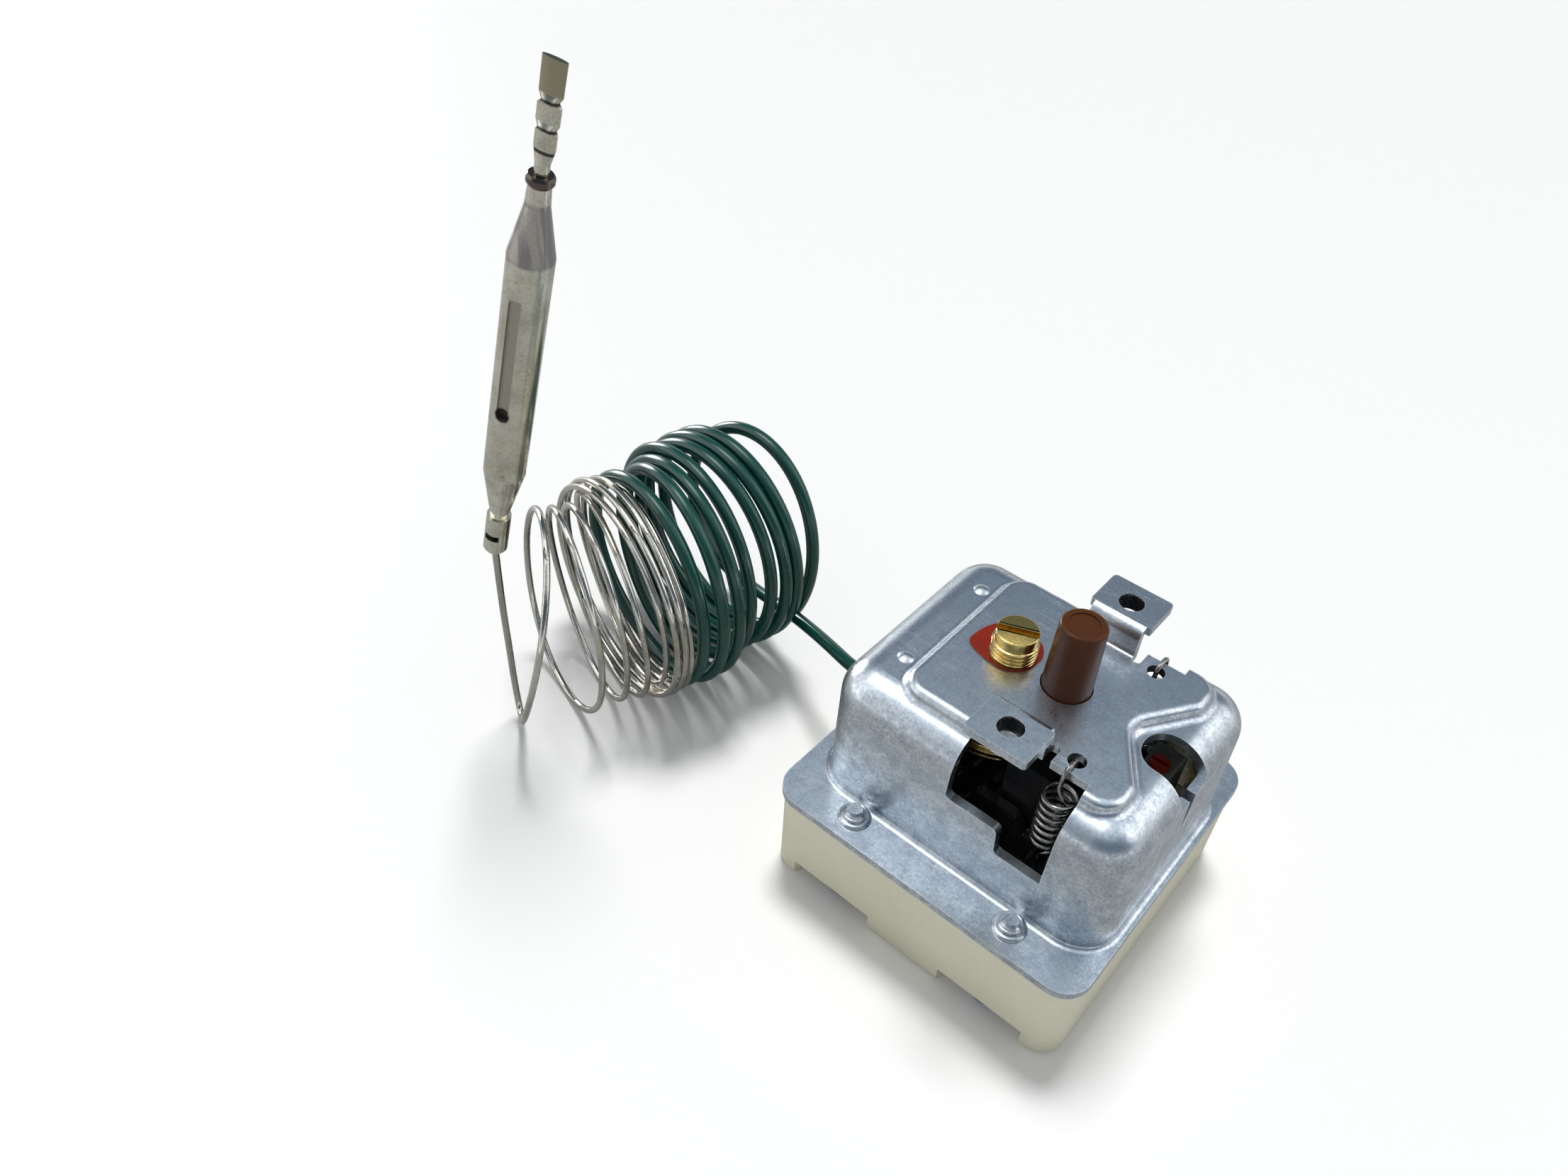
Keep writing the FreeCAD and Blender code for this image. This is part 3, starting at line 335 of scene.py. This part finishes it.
def makeScratches():
    # thin, sparse scratches in two directions
    group, given, result = newGroup("scratches", [("Scale", "NodeSocketFloat", 60.0)], [("Mask", "NodeSocketFloat")])
    marks = []
    for angle, stretch in ((0.5, (1.0, 14.0, 1.0)), (2.1, (1.0, 9.0, 1.0))):
        place = group.nodes.new("ShaderNodeTexCoord").outputs["Object"]
        mapping = group.nodes.new("ShaderNodeMapping")
        mapping.inputs["Rotation"].default_value = (0.0, 0.0, angle)
        mapping.inputs["Scale"].default_value = stretch
        wire(group, place, mapping.inputs["Vector"])
        cells = group.nodes.new("ShaderNodeTexNoise")
        wire(group, mapping.outputs["Vector"], cells.inputs["Vector"])
        wire(group, given.outputs["Scale"], cells.inputs["Scale"])
        cells.inputs["Detail"].default_value = 6.0
        cells.inputs["Distortion"].default_value = 0.6
        near = mathNode(group, "ABSOLUTE", mathNode(group, "SUBTRACT", cells.outputs["Fac"], 0.5))
        marks.append(mathNode(group, "SUBTRACT", 1.0, ramp(group, near, 0.0, 0.006)))
    most = mathNode(group, "MAXIMUM", marks[0], marks[1])
    gate = ramp(group, noise(group, 110.0, 3.0), 0.48, 0.60)
    wire(group, mathNode(group, "MULTIPLY", most, gate), result.inputs["Mask"])
    return group


edgeWearAndHighlight = makeEdgeWear()
mottle = makeMottle()
scratches = makeScratches()


def useGroup(tree, group, **values):
    node = tree.nodes.new("ShaderNodeGroup")
    node.node_tree = group
    for label, value in values.items():
        node.inputs[label].default_value = value
    return node.outputs[0]


def newMaterial(name):
    material = bpy.data.materials.new(name)
    material.use_nodes = True
    tree = material.node_tree
    return material, tree, tree.nodes["Principled BSDF"]


def bumpOf(tree, height, strength, distance):
    node = tree.nodes.new("ShaderNodeBump")
    node.inputs["Strength"].default_value = strength
    node.inputs["Distance"].default_value = distance
    wire(tree, height, node.inputs["Height"])
    return node.outputs["Normal"]


# Materials

finishes = {
    "coverSteel": {"dark": (0.43, 0.475, 0.53), "light": (0.74, 0.78, 0.82),
        "edge": (0.93, 0.94, 0.95), "rough": (0.25, 0.36)},
    "screwSteel": {"dark": (0.34, 0.37, 0.41), "light": (0.66, 0.69, 0.72),
        "edge": (0.90, 0.90, 0.90), "rough": (0.20, 0.38)},
    "springSteel": {"dark": (0.16, 0.15, 0.14), "light": (0.46, 0.44, 0.41),
        "edge": (0.7, 0.68, 0.65), "rough": (0.16, 0.32)},
    "capillarySteel": {"dark": (0.40, 0.37, 0.32), "light": (0.74, 0.71, 0.64),
        "edge": (0.95, 0.93, 0.88), "rough": (0.04, 0.09)},
    # very dark steel for the tabs' threads: painted shade inside the tapped holes
    "tapSteelShaded": {"dark": (0.04, 0.04, 0.045), "light": (0.15, 0.155, 0.17),
        "edge": (0.55, 0.55, 0.55), "rough": (0.18, 0.30)},
    "bulbSteel": {"dark": (0.52, 0.48, 0.37), "light": (0.82, 0.78, 0.65),
        "edge": (0.86, 0.83, 0.75), "rough": (0.17, 0.28)},
    "brass": {"dark": (0.62, 0.40, 0.10), "light": (0.95, 0.73, 0.28),
        "edge": (1.0, 0.88, 0.50), "rough": (0.14, 0.30)},
    "silver": {"dark": (0.70, 0.70, 0.68), "light": (0.90, 0.90, 0.88),
        "edge": (0.95, 0.95, 0.95), "rough": (0.12, 0.25)},
}


def metal(name, patch=140.0, grain=2600.0, share=0.45, wearAndHighlightRadius=0.0004, marks=0.0, relief=0.05):
    look = finishes[name]
    material, tree, shader = newMaterial(name)
    cloud = useGroup(tree, mottle, Patch=patch, Grain=grain, Share=share)
    tone = ramp(tree, cloud, 0.34, 0.66)
    colour = blendColours(tree, "MIX", tone, look["dark"], look["light"])
    # a lighter colour on edges and folds: partly edge wear, partly a painted edge highlight
    if wearAndHighlightRadius:
        rim = useGroup(tree, edgeWearAndHighlight, Radius=wearAndHighlightRadius, Break=grain)
        colour = blendColours(tree, "MIX", rim, colour, look["edge"])
    roughness = between(tree, tone, look["rough"][1], look["rough"][0])
    if marks:
        lines = useGroup(tree, scratches, Scale=70.0)
        colour = blendColours(tree, "MIX", mathNode(tree, "MULTIPLY", lines, marks), colour, look["edge"])
        roughness = mathNode(tree, "ADD", roughness, mathNode(tree, "MULTIPLY", lines, 0.12), True)
    wire(tree, colour, shader.inputs["Base Color"])
    wire(tree, roughness, shader.inputs["Roughness"])
    if relief:
        wire(tree, bumpOf(tree, cloud, relief, 0.0002), shader.inputs["Normal"])
    shader.inputs["Metallic"].default_value = 1.0
    return material


# the bulb's own places, in millimetres along its axis from the clip's foot
bulbFace = {
    "foot": (-70.9, -28.3, 32.5),
    "lean": (0.219, 0.075, 0.973),
    "groovedSide": -70.0,
    "groove": (26.5, 42.8, 0.75),
    "dimpleReach": 0.75,
    "topCone": (48.4, 55.0),
    "stainedStretches": [(15.0, 24.0, 3.0), (47.0, 49.0, 2.0)],
    "collar": (57.2, 58.4),
    "creases": [61.0, 63.5, 66.5],
    "brassyFrom": 66.9,
    "stain": (0.30, 0.26, 0.18),
    # the groove's tone is painted shade and reflection with some dirt; the crease tone is painted shade in the
    # creases and the dimple
    "grooveShadeAndDirt": (0.46, 0.43, 0.36),
    "coneTone": (0.34, 0.315, 0.31),
    "collarTone": (0.16, 0.12, 0.11),
    "creaseShade": (0.07, 0.06, 0.055),
    "brassTone": (0.42, 0.37, 0.25),
}


def bulbAxes():
    lean = Vector(bulbFace["lean"]).normalized()
    side = math.radians(bulbFace["groovedSide"])
    grooved = Vector((0, 0, 1)).rotation_difference(lean) @ Vector((math.cos(side), math.sin(side), 0))
    return lean, grooved, lean.cross(grooved)


def bulbPlace(tree, axis):
    # how far a point lies along one of the bulb's own axes, in millimetres
    place = tree.nodes.new("ShaderNodeTexCoord").outputs["Object"]
    node = tree.nodes.new("ShaderNodeVectorMath")
    node.operation = "DOT_PRODUCT"
    wire(tree, place, node.inputs[0])
    node.inputs[1].default_value = axis * 1000
    return mathNode(tree, "SUBTRACT", node.outputs["Value"], Vector(bulbFace["foot"]).dot(axis))


def band(tree, value, low, high, soft):
    # one between two places, easing to nothing on both sides
    up = ramp(tree, value, low - soft, low)
    down = ramp(tree, value, high, high + soft)
    return mathNode(tree, "SUBTRACT", up, down, True)


def bulbMetal():
    look = finishes["bulbSteel"]
    lean, grooved, across = bulbAxes()
    material, tree, shader = newMaterial("bulbSteel")
    along = bulbPlace(tree, lean)
    outward = bulbPlace(tree, grooved)
    sideways = mathNode(tree, "ABSOLUTE", bulbPlace(tree, across))
    cloud = useGroup(tree, mottle, Patch=260.0, Grain=3200.0, Share=0.4)
    tone = ramp(tree, cloud, 0.30, 0.66)
    colour = blendColours(tree, "MIX", tone, look["dark"], look["light"])
    streak = ramp(tree, noise(tree, 900.0, 3.0, 0.6, (1.0, 1.0, 0.05)), 0.40, 0.62)
    cone = mathNode(tree, "MULTIPLY", band(tree, along, *bulbFace["topCone"], 0.5), between(tree, streak, 0.55, 1.0))
    colour = blendColours(tree, "MIX", cone, colour, bulbFace["coneTone"])
    spots = ramp(tree, noise(tree, 420.0, 6.0, 0.7), 0.60, 0.70)
    stretches = [band(tree, along, *stretch) for stretch in bulbFace["stainedStretches"]]
    ends = mathNode(tree, "ADD", stretches[0], stretches[1], True)
    colour = blendColours(tree, "MIX", mathNode(tree, "MULTIPLY", spots, ends), colour, bulbFace["stain"])
    # the groove's floor darker: painted shade and reflection, with some dirt
    start, end, half = bulbFace["groove"]
    floor = mathNode(tree, "MULTIPLY", band(tree, along, start - half, end + half, 0.2),
                     band(tree, sideways, 0.0, half, 0.12))
    floor = mathNode(tree, "MULTIPLY", floor, ramp(tree, outward, 1.6, 2.0))
    colour = blendColours(tree, "MIX", floor, colour, bulbFace["grooveShadeAndDirt"])
    # the dimple at the groove's lower end darker: painted shade and reflection in the hollow, with some dirt
    lengthwise = mathNode(tree, "SUBTRACT", along, start)
    spread = mathNode(tree, "SQRT", mathNode(tree, "ADD", mathNode(tree, "POWER", lengthwise, 2.0),
                                             mathNode(tree, "POWER", sideways, 2.0)))
    dimple = mathNode(tree, "MULTIPLY", band(tree, spread, 0.0, bulbFace["dimpleReach"], 0.45),
                      ramp(tree, outward, 1.0, 1.6))
    colour = blendColours(tree, "MIX", dimple, colour, bulbFace["creaseShade"])
    brassy = ramp(tree, along, bulbFace["brassyFrom"], bulbFace["brassyFrom"] + 0.5)
    colour = blendColours(tree, "MIX", brassy, colour, bulbFace["brassTone"])
    colour = blendColours(tree, "MIX", band(tree, along, *bulbFace["collar"], 0.15), colour, bulbFace["collarTone"])
    # dark rings at the creases: painted shade in the creases
    for place in bulbFace["creases"]:
        crease = band(tree, along, place - 0.08, place + 0.08, 0.22)
        colour = blendColours(tree, "MIX", crease, colour, bulbFace["creaseShade"])
    wire(tree, colour, shader.inputs["Base Color"])
    dull = mathNode(tree, "ADD", floor, dimple, True)
    rough = between(tree, tone, look["rough"][1], look["rough"][0])
    wire(tree, mathNode(tree, "ADD", rough, mathNode(tree, "MULTIPLY", dull, 0.35), True), shader.inputs["Roughness"])
    wire(tree, bumpOf(tree, mathNode(tree, "ADD", cloud, mathNode(tree, "MULTIPLY", cone, 1.5)), 0.03, 0.0002),
         shader.inputs["Normal"])
    shader.inputs["Metallic"].default_value = 1.0
    return material


coatings = {
    "ceramic": {"colour": (0.86, 0.83, 0.655), "shade": (0.78, 0.745, 0.57),
        "rough": (0.42, 0.60), "patch": 60.0, "relief": 0.12},
    "greenSleeve": {"colour": (0.0015, 0.068, 0.050), "shade": (0.001, 0.046, 0.036),
        "rough": (0.20, 0.26), "patch": 90.0, "relief": 0.008},
    "brownButton": {"colour": (0.098, 0.031, 0.009), "shade": (0.070, 0.022, 0.007),
        "rough": (0.26, 0.40), "patch": 200.0, "relief": 0.05},
    "redLacquer": {"colour": (0.28, 0.020, 0.006), "shade": (0.19, 0.013, 0.005),
        "rough": (0.12, 0.30), "patch": 260.0, "relief": 0.35},
    "blackMoulding": {"colour": (0.014, 0.015, 0.018), "shade": (0.022, 0.022, 0.022),
        "rough": (0.16, 0.30), "patch": 150.0, "relief": 0.06},
    "greyBlock": {"colour": (0.10, 0.12, 0.09), "shade": (0.07, 0.08, 0.065),
        "rough": (0.35, 0.55), "patch": 180.0, "relief": 0.10},
}


def moulded(name, coat=0.0, gloss=0.5):
    look = coatings[name]
    material, tree, shader = newMaterial(name)
    cloud = useGroup(tree, mottle, Patch=look["patch"], Grain=2200.0, Share=0.35)
    tone = ramp(tree, cloud, 0.30, 0.70)
    colour = blendColours(tree, "MIX", tone, look["shade"], look["colour"])
    wire(tree, colour, shader.inputs["Base Color"])
    wire(tree, between(tree, tone, look["rough"][1], look["rough"][0]), shader.inputs["Roughness"])
    wire(tree, bumpOf(tree, cloud, look["relief"], 0.0002), shader.inputs["Normal"])
    shader.inputs["Coat Weight"].default_value = coat
    shader.inputs["Specular IOR Level"].default_value = gloss
    return material


coverSteel = metal("coverSteel", 480.0, 2600.0, 0.5, 0.0003, 0.8, 0.008)
screwSteel = metal("screwSteel", 300.0, 3500.0, 0.5, 0.0002, 0.0, 0.015)
springSteel = metal("springSteel", 300.0, 3500.0, 0.4, 0.0002)
capillarySteel = metal("capillarySteel", 80.0, 3000.0, 0.3, 0.0, 0.0, 0.0)
tapSteelShaded = metal("tapSteelShaded", 300.0, 3500.0, 0.5, 0.0, 0.0, 0.02)
bulbSteel = bulbMetal()
brass = metal("brass", 260.0, 3500.0, 0.5, 0.00025, 0.0, 0.04)
silver = metal("silver", 200.0, 3000.0)
ceramic = moulded("ceramic", 0.0, 0.3)
greenCoat = moulded("greenSleeve", 0.0, 0.6)
brownButton = moulded("brownButton", 0.0, 0.22)
redLacquer = moulded("redLacquer", 0.2, 0.3)
blackMoulding = moulded("blackMoulding", 0.3, 0.6)
greyBlock = moulded("greyBlock")

paint = {
    "ceramic": ceramic, "plated_steel": coverSteel, "screw_steel": screwSteel, "brass": brass, "spring_brass": brass,
    "silver": silver, "red_lacquer": redLacquer, "brown_plastic": brownButton, "black_plastic": blackMoulding,
    "grey_plastic": greyBlock, "spring_steel": springSteel, "green_sleeve": greenCoat,
    "capillary_steel": capillarySteel, "bulb_steel": bulbSteel,
}


def dress(piece, material):
    piece.data.materials.clear()
    piece.data.materials.append(material)


for part in frame["record"]["subparts"]:
    dress(nodes[part["node"]], paint[part["material_slot"]])
dress(greenSleeve, greenCoat)
dress(bareCapillary, capillarySteel)
print("materials set")


# Small pieces: the studs' collars, the brass screw, the tabs' threads and the capsule's rims


def ringMesh(shape, centre, major, minor, steps=40, sides=10):
    # a ring round a vertical axis, made of bridged circles
    loops = []
    for i in range(sides):
        a = 2 * math.pi * i / sides
        z = centre[2] + minor * math.sin(a)
        place = Matrix.Translation(spot(centre[0], centre[1], z))
        made = bmesh.ops.create_circle(shape, segments=steps, radius=(major + minor * math.cos(a)) * mm, matrix=place)
        loops.append([e for v in made["verts"] for e in v.link_edges])
    for i in range(sides):
        edges = list(set(loops[i] + loops[(i + 1) % sides]))
        bmesh.ops.bridge_loops(shape, edges=edges)


def pieceFrom(name, shape, material, body="housing"):
    bmesh.ops.recalc_face_normals(shape, faces=shape.faces)
    mesh = bpy.data.meshes.new(name)
    for face in shape.faces:
        face.smooth = True
    shape.to_mesh(mesh)
    shape.free()
    mesh.set_sharp_from_angle(angle=math.radians(40))
    piece = bpy.data.objects.new(name, mesh)
    bpy.context.scene.collection.objects.link(piece)
    dress(piece, material)
    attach(piece, body)
    return piece


def turnedShape(shape, centre, profile, steps=48):
    # a profile of (radius, height) in millimetres, spun round an upright axis
    verts = [shape.verts.new(spot(centre[0] + r, centre[1], centre[2] + z)) for r, z in profile]
    edges = [shape.edges.new(pair) for pair in zip(verts, verts[1:])]
    bmesh.ops.spin(shape, geom=verts + edges, cent=spot(*centre), axis=(0, 0, 1), angle=2 * math.pi, steps=steps,
                   use_merge=True)


studs = {
    "places": [(-12.0, -19.5), (12.0, -19.5), (-12.0, 19.5), (12.0, 19.5)],
    "stand": 1.9,
    "collar": [(1.4, 0.0), (1.4, 0.50), (1.85, 0.50), (2.12, 0.36), (2.24, 0.12), (2.28, -0.15), (1.4, -0.15),
               (1.4, 0.0)],
    "threads": [0.78, 1.02],
    "threadMajor": 1.42,
    "threadMinor": 0.14,
}


def addStudCollars():
    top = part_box("flange_screws")[1][2] / mm - studs["stand"]
    shape = bmesh.new()
    for x, y in studs["places"]:
        turnedShape(shape, (x, y, top), studs["collar"])
        for rise in studs["threads"]:
            ringMesh(shape, (x, y, top + rise), studs["threadMajor"], studs["threadMinor"], 36, 8)
    pieceFrom("studCollars", shape, screwSteel)


brassScrew = {
    "headRadius": 2.78,
    "slotTurn": 23.5,
    "slotWidth": 1.05,
    "slotDepth": 1.2,
    "threadFrom": 1.75,
    "pitch": 0.6,
    "threadMajor": 2.80,
    "threadMinor": 0.20,
    "chamfer": 0.22,
}


def addBrassScrew():
    low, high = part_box("adjusting_screw")
    x, y = (low[0] + high[0]) / 2 / mm, (low[1] + high[1]) / 2 / mm
    foot, top = low[2] / mm, high[2] / mm
    turn = math.radians(brassScrew["slotTurn"])
    across = Vector((-math.sin(turn), math.cos(turn), 0))
    middle = spot(x, y, top - brassScrew["slotDepth"])
    half = brassScrew["slotWidth"] / 2 * mm
    shape = bmesh.new()
    bmesh.ops.create_circle(shape, cap_ends=True, segments=72, radius=brassScrew["headRadius"] * mm,
                            matrix=Matrix.Translation(middle))
    for side in (-half, half):
        bmesh.ops.bisect_plane(shape, geom=shape.verts[:] + shape.edges[:] + shape.faces[:],
                               plane_co=middle + across * side, plane_no=across)
    rim = [e for e in shape.edges if e.is_boundary]
    skirt = bmesh.ops.extrude_edge_only(shape, edges=rim)["geom"]
    drop = Vector((0, 0, foot * mm - middle.z))
    bmesh.ops.translate(shape, vec=drop, verts=[v for v in skirt if isinstance(v, bmesh.types.BMVert)])
    bmesh.ops.holes_fill(shape, edges=[e for e in shape.edges if e.is_boundary], sides=0)
    level = [f for f in shape.faces if abs(f.calc_center_median().z - middle.z) < 1e-6 and abs(f.normal.z) > 0.9]
    lands = [f for f in level if abs((f.calc_center_median() - middle).dot(across)) > half]
    for land in lands:
        raised = bmesh.ops.extrude_face_region(shape, geom=[land])["geom"]
        bmesh.ops.translate(shape, vec=Vector((0, 0, brassScrew["slotDepth"] * mm)),
                            verts=[v for v in raised if isinstance(v, bmesh.types.BMVert)])
    bmesh.ops.delete(shape, geom=[f for f in lands if f.is_valid], context="FACES_ONLY")
    crown = [e for e in shape.edges if all(abs(v.co.z - top * mm) < 1e-6 for v in e.verts)]
    bmesh.ops.bevel(shape, geom=crown, offset=brassScrew["chamfer"] * mm, offset_type="OFFSET", affect="EDGES",
                    segments=3, profile=0.5, material=-1)
    z = top - brassScrew["threadFrom"]
    while z > foot + brassScrew["pitch"]:
        ringMesh(shape, (x, y, z), brassScrew["threadMajor"], brassScrew["threadMinor"], 48, 8)
        z -= brassScrew["pitch"]
    screw = pieceFrom("brassScrew", shape, brass)
    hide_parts("adjusting_screw")


tapThreads = {
    "places": [(3.4, -14.0), (3.4, 14.0)],
    "top": 41.35,
    "pitch": 0.42,
    "turns": 6,
    "major": 1.74,
    "minor": 0.22,
}


def addTapThreads():
    shape = bmesh.new()
    for x, y in tapThreads["places"]:
        for turn in range(tapThreads["turns"]):
            z = tapThreads["top"] - turn * tapThreads["pitch"]
            ringMesh(shape, (x, y, z), tapThreads["major"], tapThreads["minor"], 32, 8)
    # the threads take the very dark steel, painted shade in the holes
    pieceFrom("tapThreads", shape, tapSteelShaded)


capsuleRims = {"centre": (-4.5, 0.0), "heights": [27.75, 28.6, 26.9], "major": 8.55, "minor": 0.16}


def addCapsuleRims():
    shape = bmesh.new()
    for z in capsuleRims["heights"]:
        ringMesh(shape, (*capsuleRims["centre"], z), capsuleRims["major"], capsuleRims["minor"], 72, 8)
    pieceFrom("capsuleRims", shape, brass)


addStudCollars()
addBrassScrew()
addTapThreads()
addCapsuleRims()
print("small pieces made")


# Floor, world and lamps

room = {
    "floorSize": 6.0,
    "floorColour": (0.86, 0.86, 0.86),
    "floorSeen": (1.0, 0.995, 0.985),
    "floorInMetal": (0.40, 0.41, 0.41),
    "floorLift": 0.02,
    "worldColour": (0.94, 0.97, 1.0),
    "worldStrength": 0.36,
    "sunFrom": (-0.17, 0.27, 0.94),
    "sunStrength": 2.1,
    "sunAngle": 16.0,
    "wallTone": (0.125, 0.17, 0.225),
    "horizonTone": (0.95, 0.96, 0.97),
    "horizonTop": (0.04, 0.34),
    "ceilingTone": (0.68, 0.76, 0.84),
    "panels": [((0.62, 0.48, 0.62), 0.86, 0.97, 1.5), ((-0.70, -0.55, 0.45), 0.80, 0.96, 1.1),
               ((-0.30, -0.06, 0.95), 0.95, 0.994, 5.0), ((-0.95, 0.28, 0.12), 0.965, 0.994, 16.0)],
}


def addFloor():
    mesh = bpy.data.meshes.new("floor")
    shape = bmesh.new()
    bmesh.ops.create_grid(shape, x_segments=1, y_segments=1, size=room["floorSize"] / 2)
    shape.to_mesh(mesh)
    shape.free()
    floor = bpy.data.objects.new("floor", mesh)
    bpy.context.scene.collection.objects.link(floor)
    material, tree, shader = newMaterial("floorPaper")
    shader.inputs["Roughness"].default_value = 0.5
    shader.inputs["Emission Color"].default_value = (1.0, 1.0, 1.0, 1.0)
    path = tree.nodes.new("ShaderNodeLightPath")
    tone = blendColours(tree, "MIX", path.outputs["Is Glossy Ray"], room["floorColour"], room["floorInMetal"])
    tone = blendColours(tree, "MIX", path.outputs["Is Camera Ray"], tone, room["floorSeen"])
    wire(tree, tone, shader.inputs["Base Color"])
    lift = mathNode(tree, "MULTIPLY", path.outputs["Is Camera Ray"], room["floorLift"])
    wire(tree, lift, shader.inputs["Emission Strength"])
    floor.data.materials.append(material)


def facing(tree, aim):
    # how nearly a ray of the world points at a place in the room
    ray = tree.nodes.new("ShaderNodeTexCoord").outputs["Generated"]
    node = tree.nodes.new("ShaderNodeVectorMath")
    node.operation = "DOT_PRODUCT"
    wire(tree, ray, node.inputs[0])
    node.inputs[1].default_value = Vector(aim).normalized()
    return node.outputs["Value"]


def roomSeenInMetal(tree):
    # grey walls over a pale horizon, with two soft panels
    height = facing(tree, (0.0, 0.0, 1.0))
    tone = blendColours(tree, "MIX", ramp(tree, height, *room["horizonTop"]), room["horizonTone"], room["wallTone"])
    tone = blendColours(tree, "MIX", ramp(tree, height, 0.66, 0.90), tone, room["ceilingTone"])
    for aim, low, high, strength in room["panels"]:
        glow = ramp(tree, facing(tree, aim), low, high)
        tone = blendColours(tree, "ADD", glow, tone, (strength, strength, strength))
    return tone


def addWorld():
    world = bpy.data.worlds.new("whiteRoom")
    world.use_nodes = True
    tree = world.node_tree
    glow = tree.nodes["Background"]
    path = tree.nodes.new("ShaderNodeLightPath")
    colour = blendColours(tree, "MIX", path.outputs["Is Glossy Ray"], room["worldColour"], roomSeenInMetal(tree))
    wire(tree, colour, glow.inputs["Color"])
    strength = between(tree, path.outputs["Is Glossy Ray"], room["worldStrength"], 1.0)
    wire(tree, strength, glow.inputs["Strength"])
    bright = tree.nodes.new("ShaderNodeBackground")
    bright.inputs["Color"].default_value = (1.0, 1.0, 1.0, 1.0)
    choose = tree.nodes.new("ShaderNodeMixShader")
    wire(tree, path.outputs["Is Camera Ray"], choose.inputs["Fac"])
    wire(tree, glow.outputs["Background"], choose.inputs[1])
    wire(tree, bright.outputs["Background"], choose.inputs[2])
    wire(tree, choose.outputs["Shader"], tree.nodes["World Output"].inputs["Surface"])
    bpy.context.scene.world = world


def addSun():
    data = bpy.data.lights.new("skylight", "SUN")
    data.energy = room["sunStrength"]
    data.angle = math.radians(room["sunAngle"])
    lamp = bpy.data.objects.new("skylight", data)
    lamp.visible_glossy = False  # the metals mirror the room's panels instead
    lamp.rotation_euler = Vector(room["sunFrom"]).to_track_quat("Z", "Y").to_euler()
    bpy.context.scene.collection.objects.link(lamp)


addFloor()
addWorld()
addSun()
bpy.context.scene.view_settings.view_transform = "Standard"
print("room lit")

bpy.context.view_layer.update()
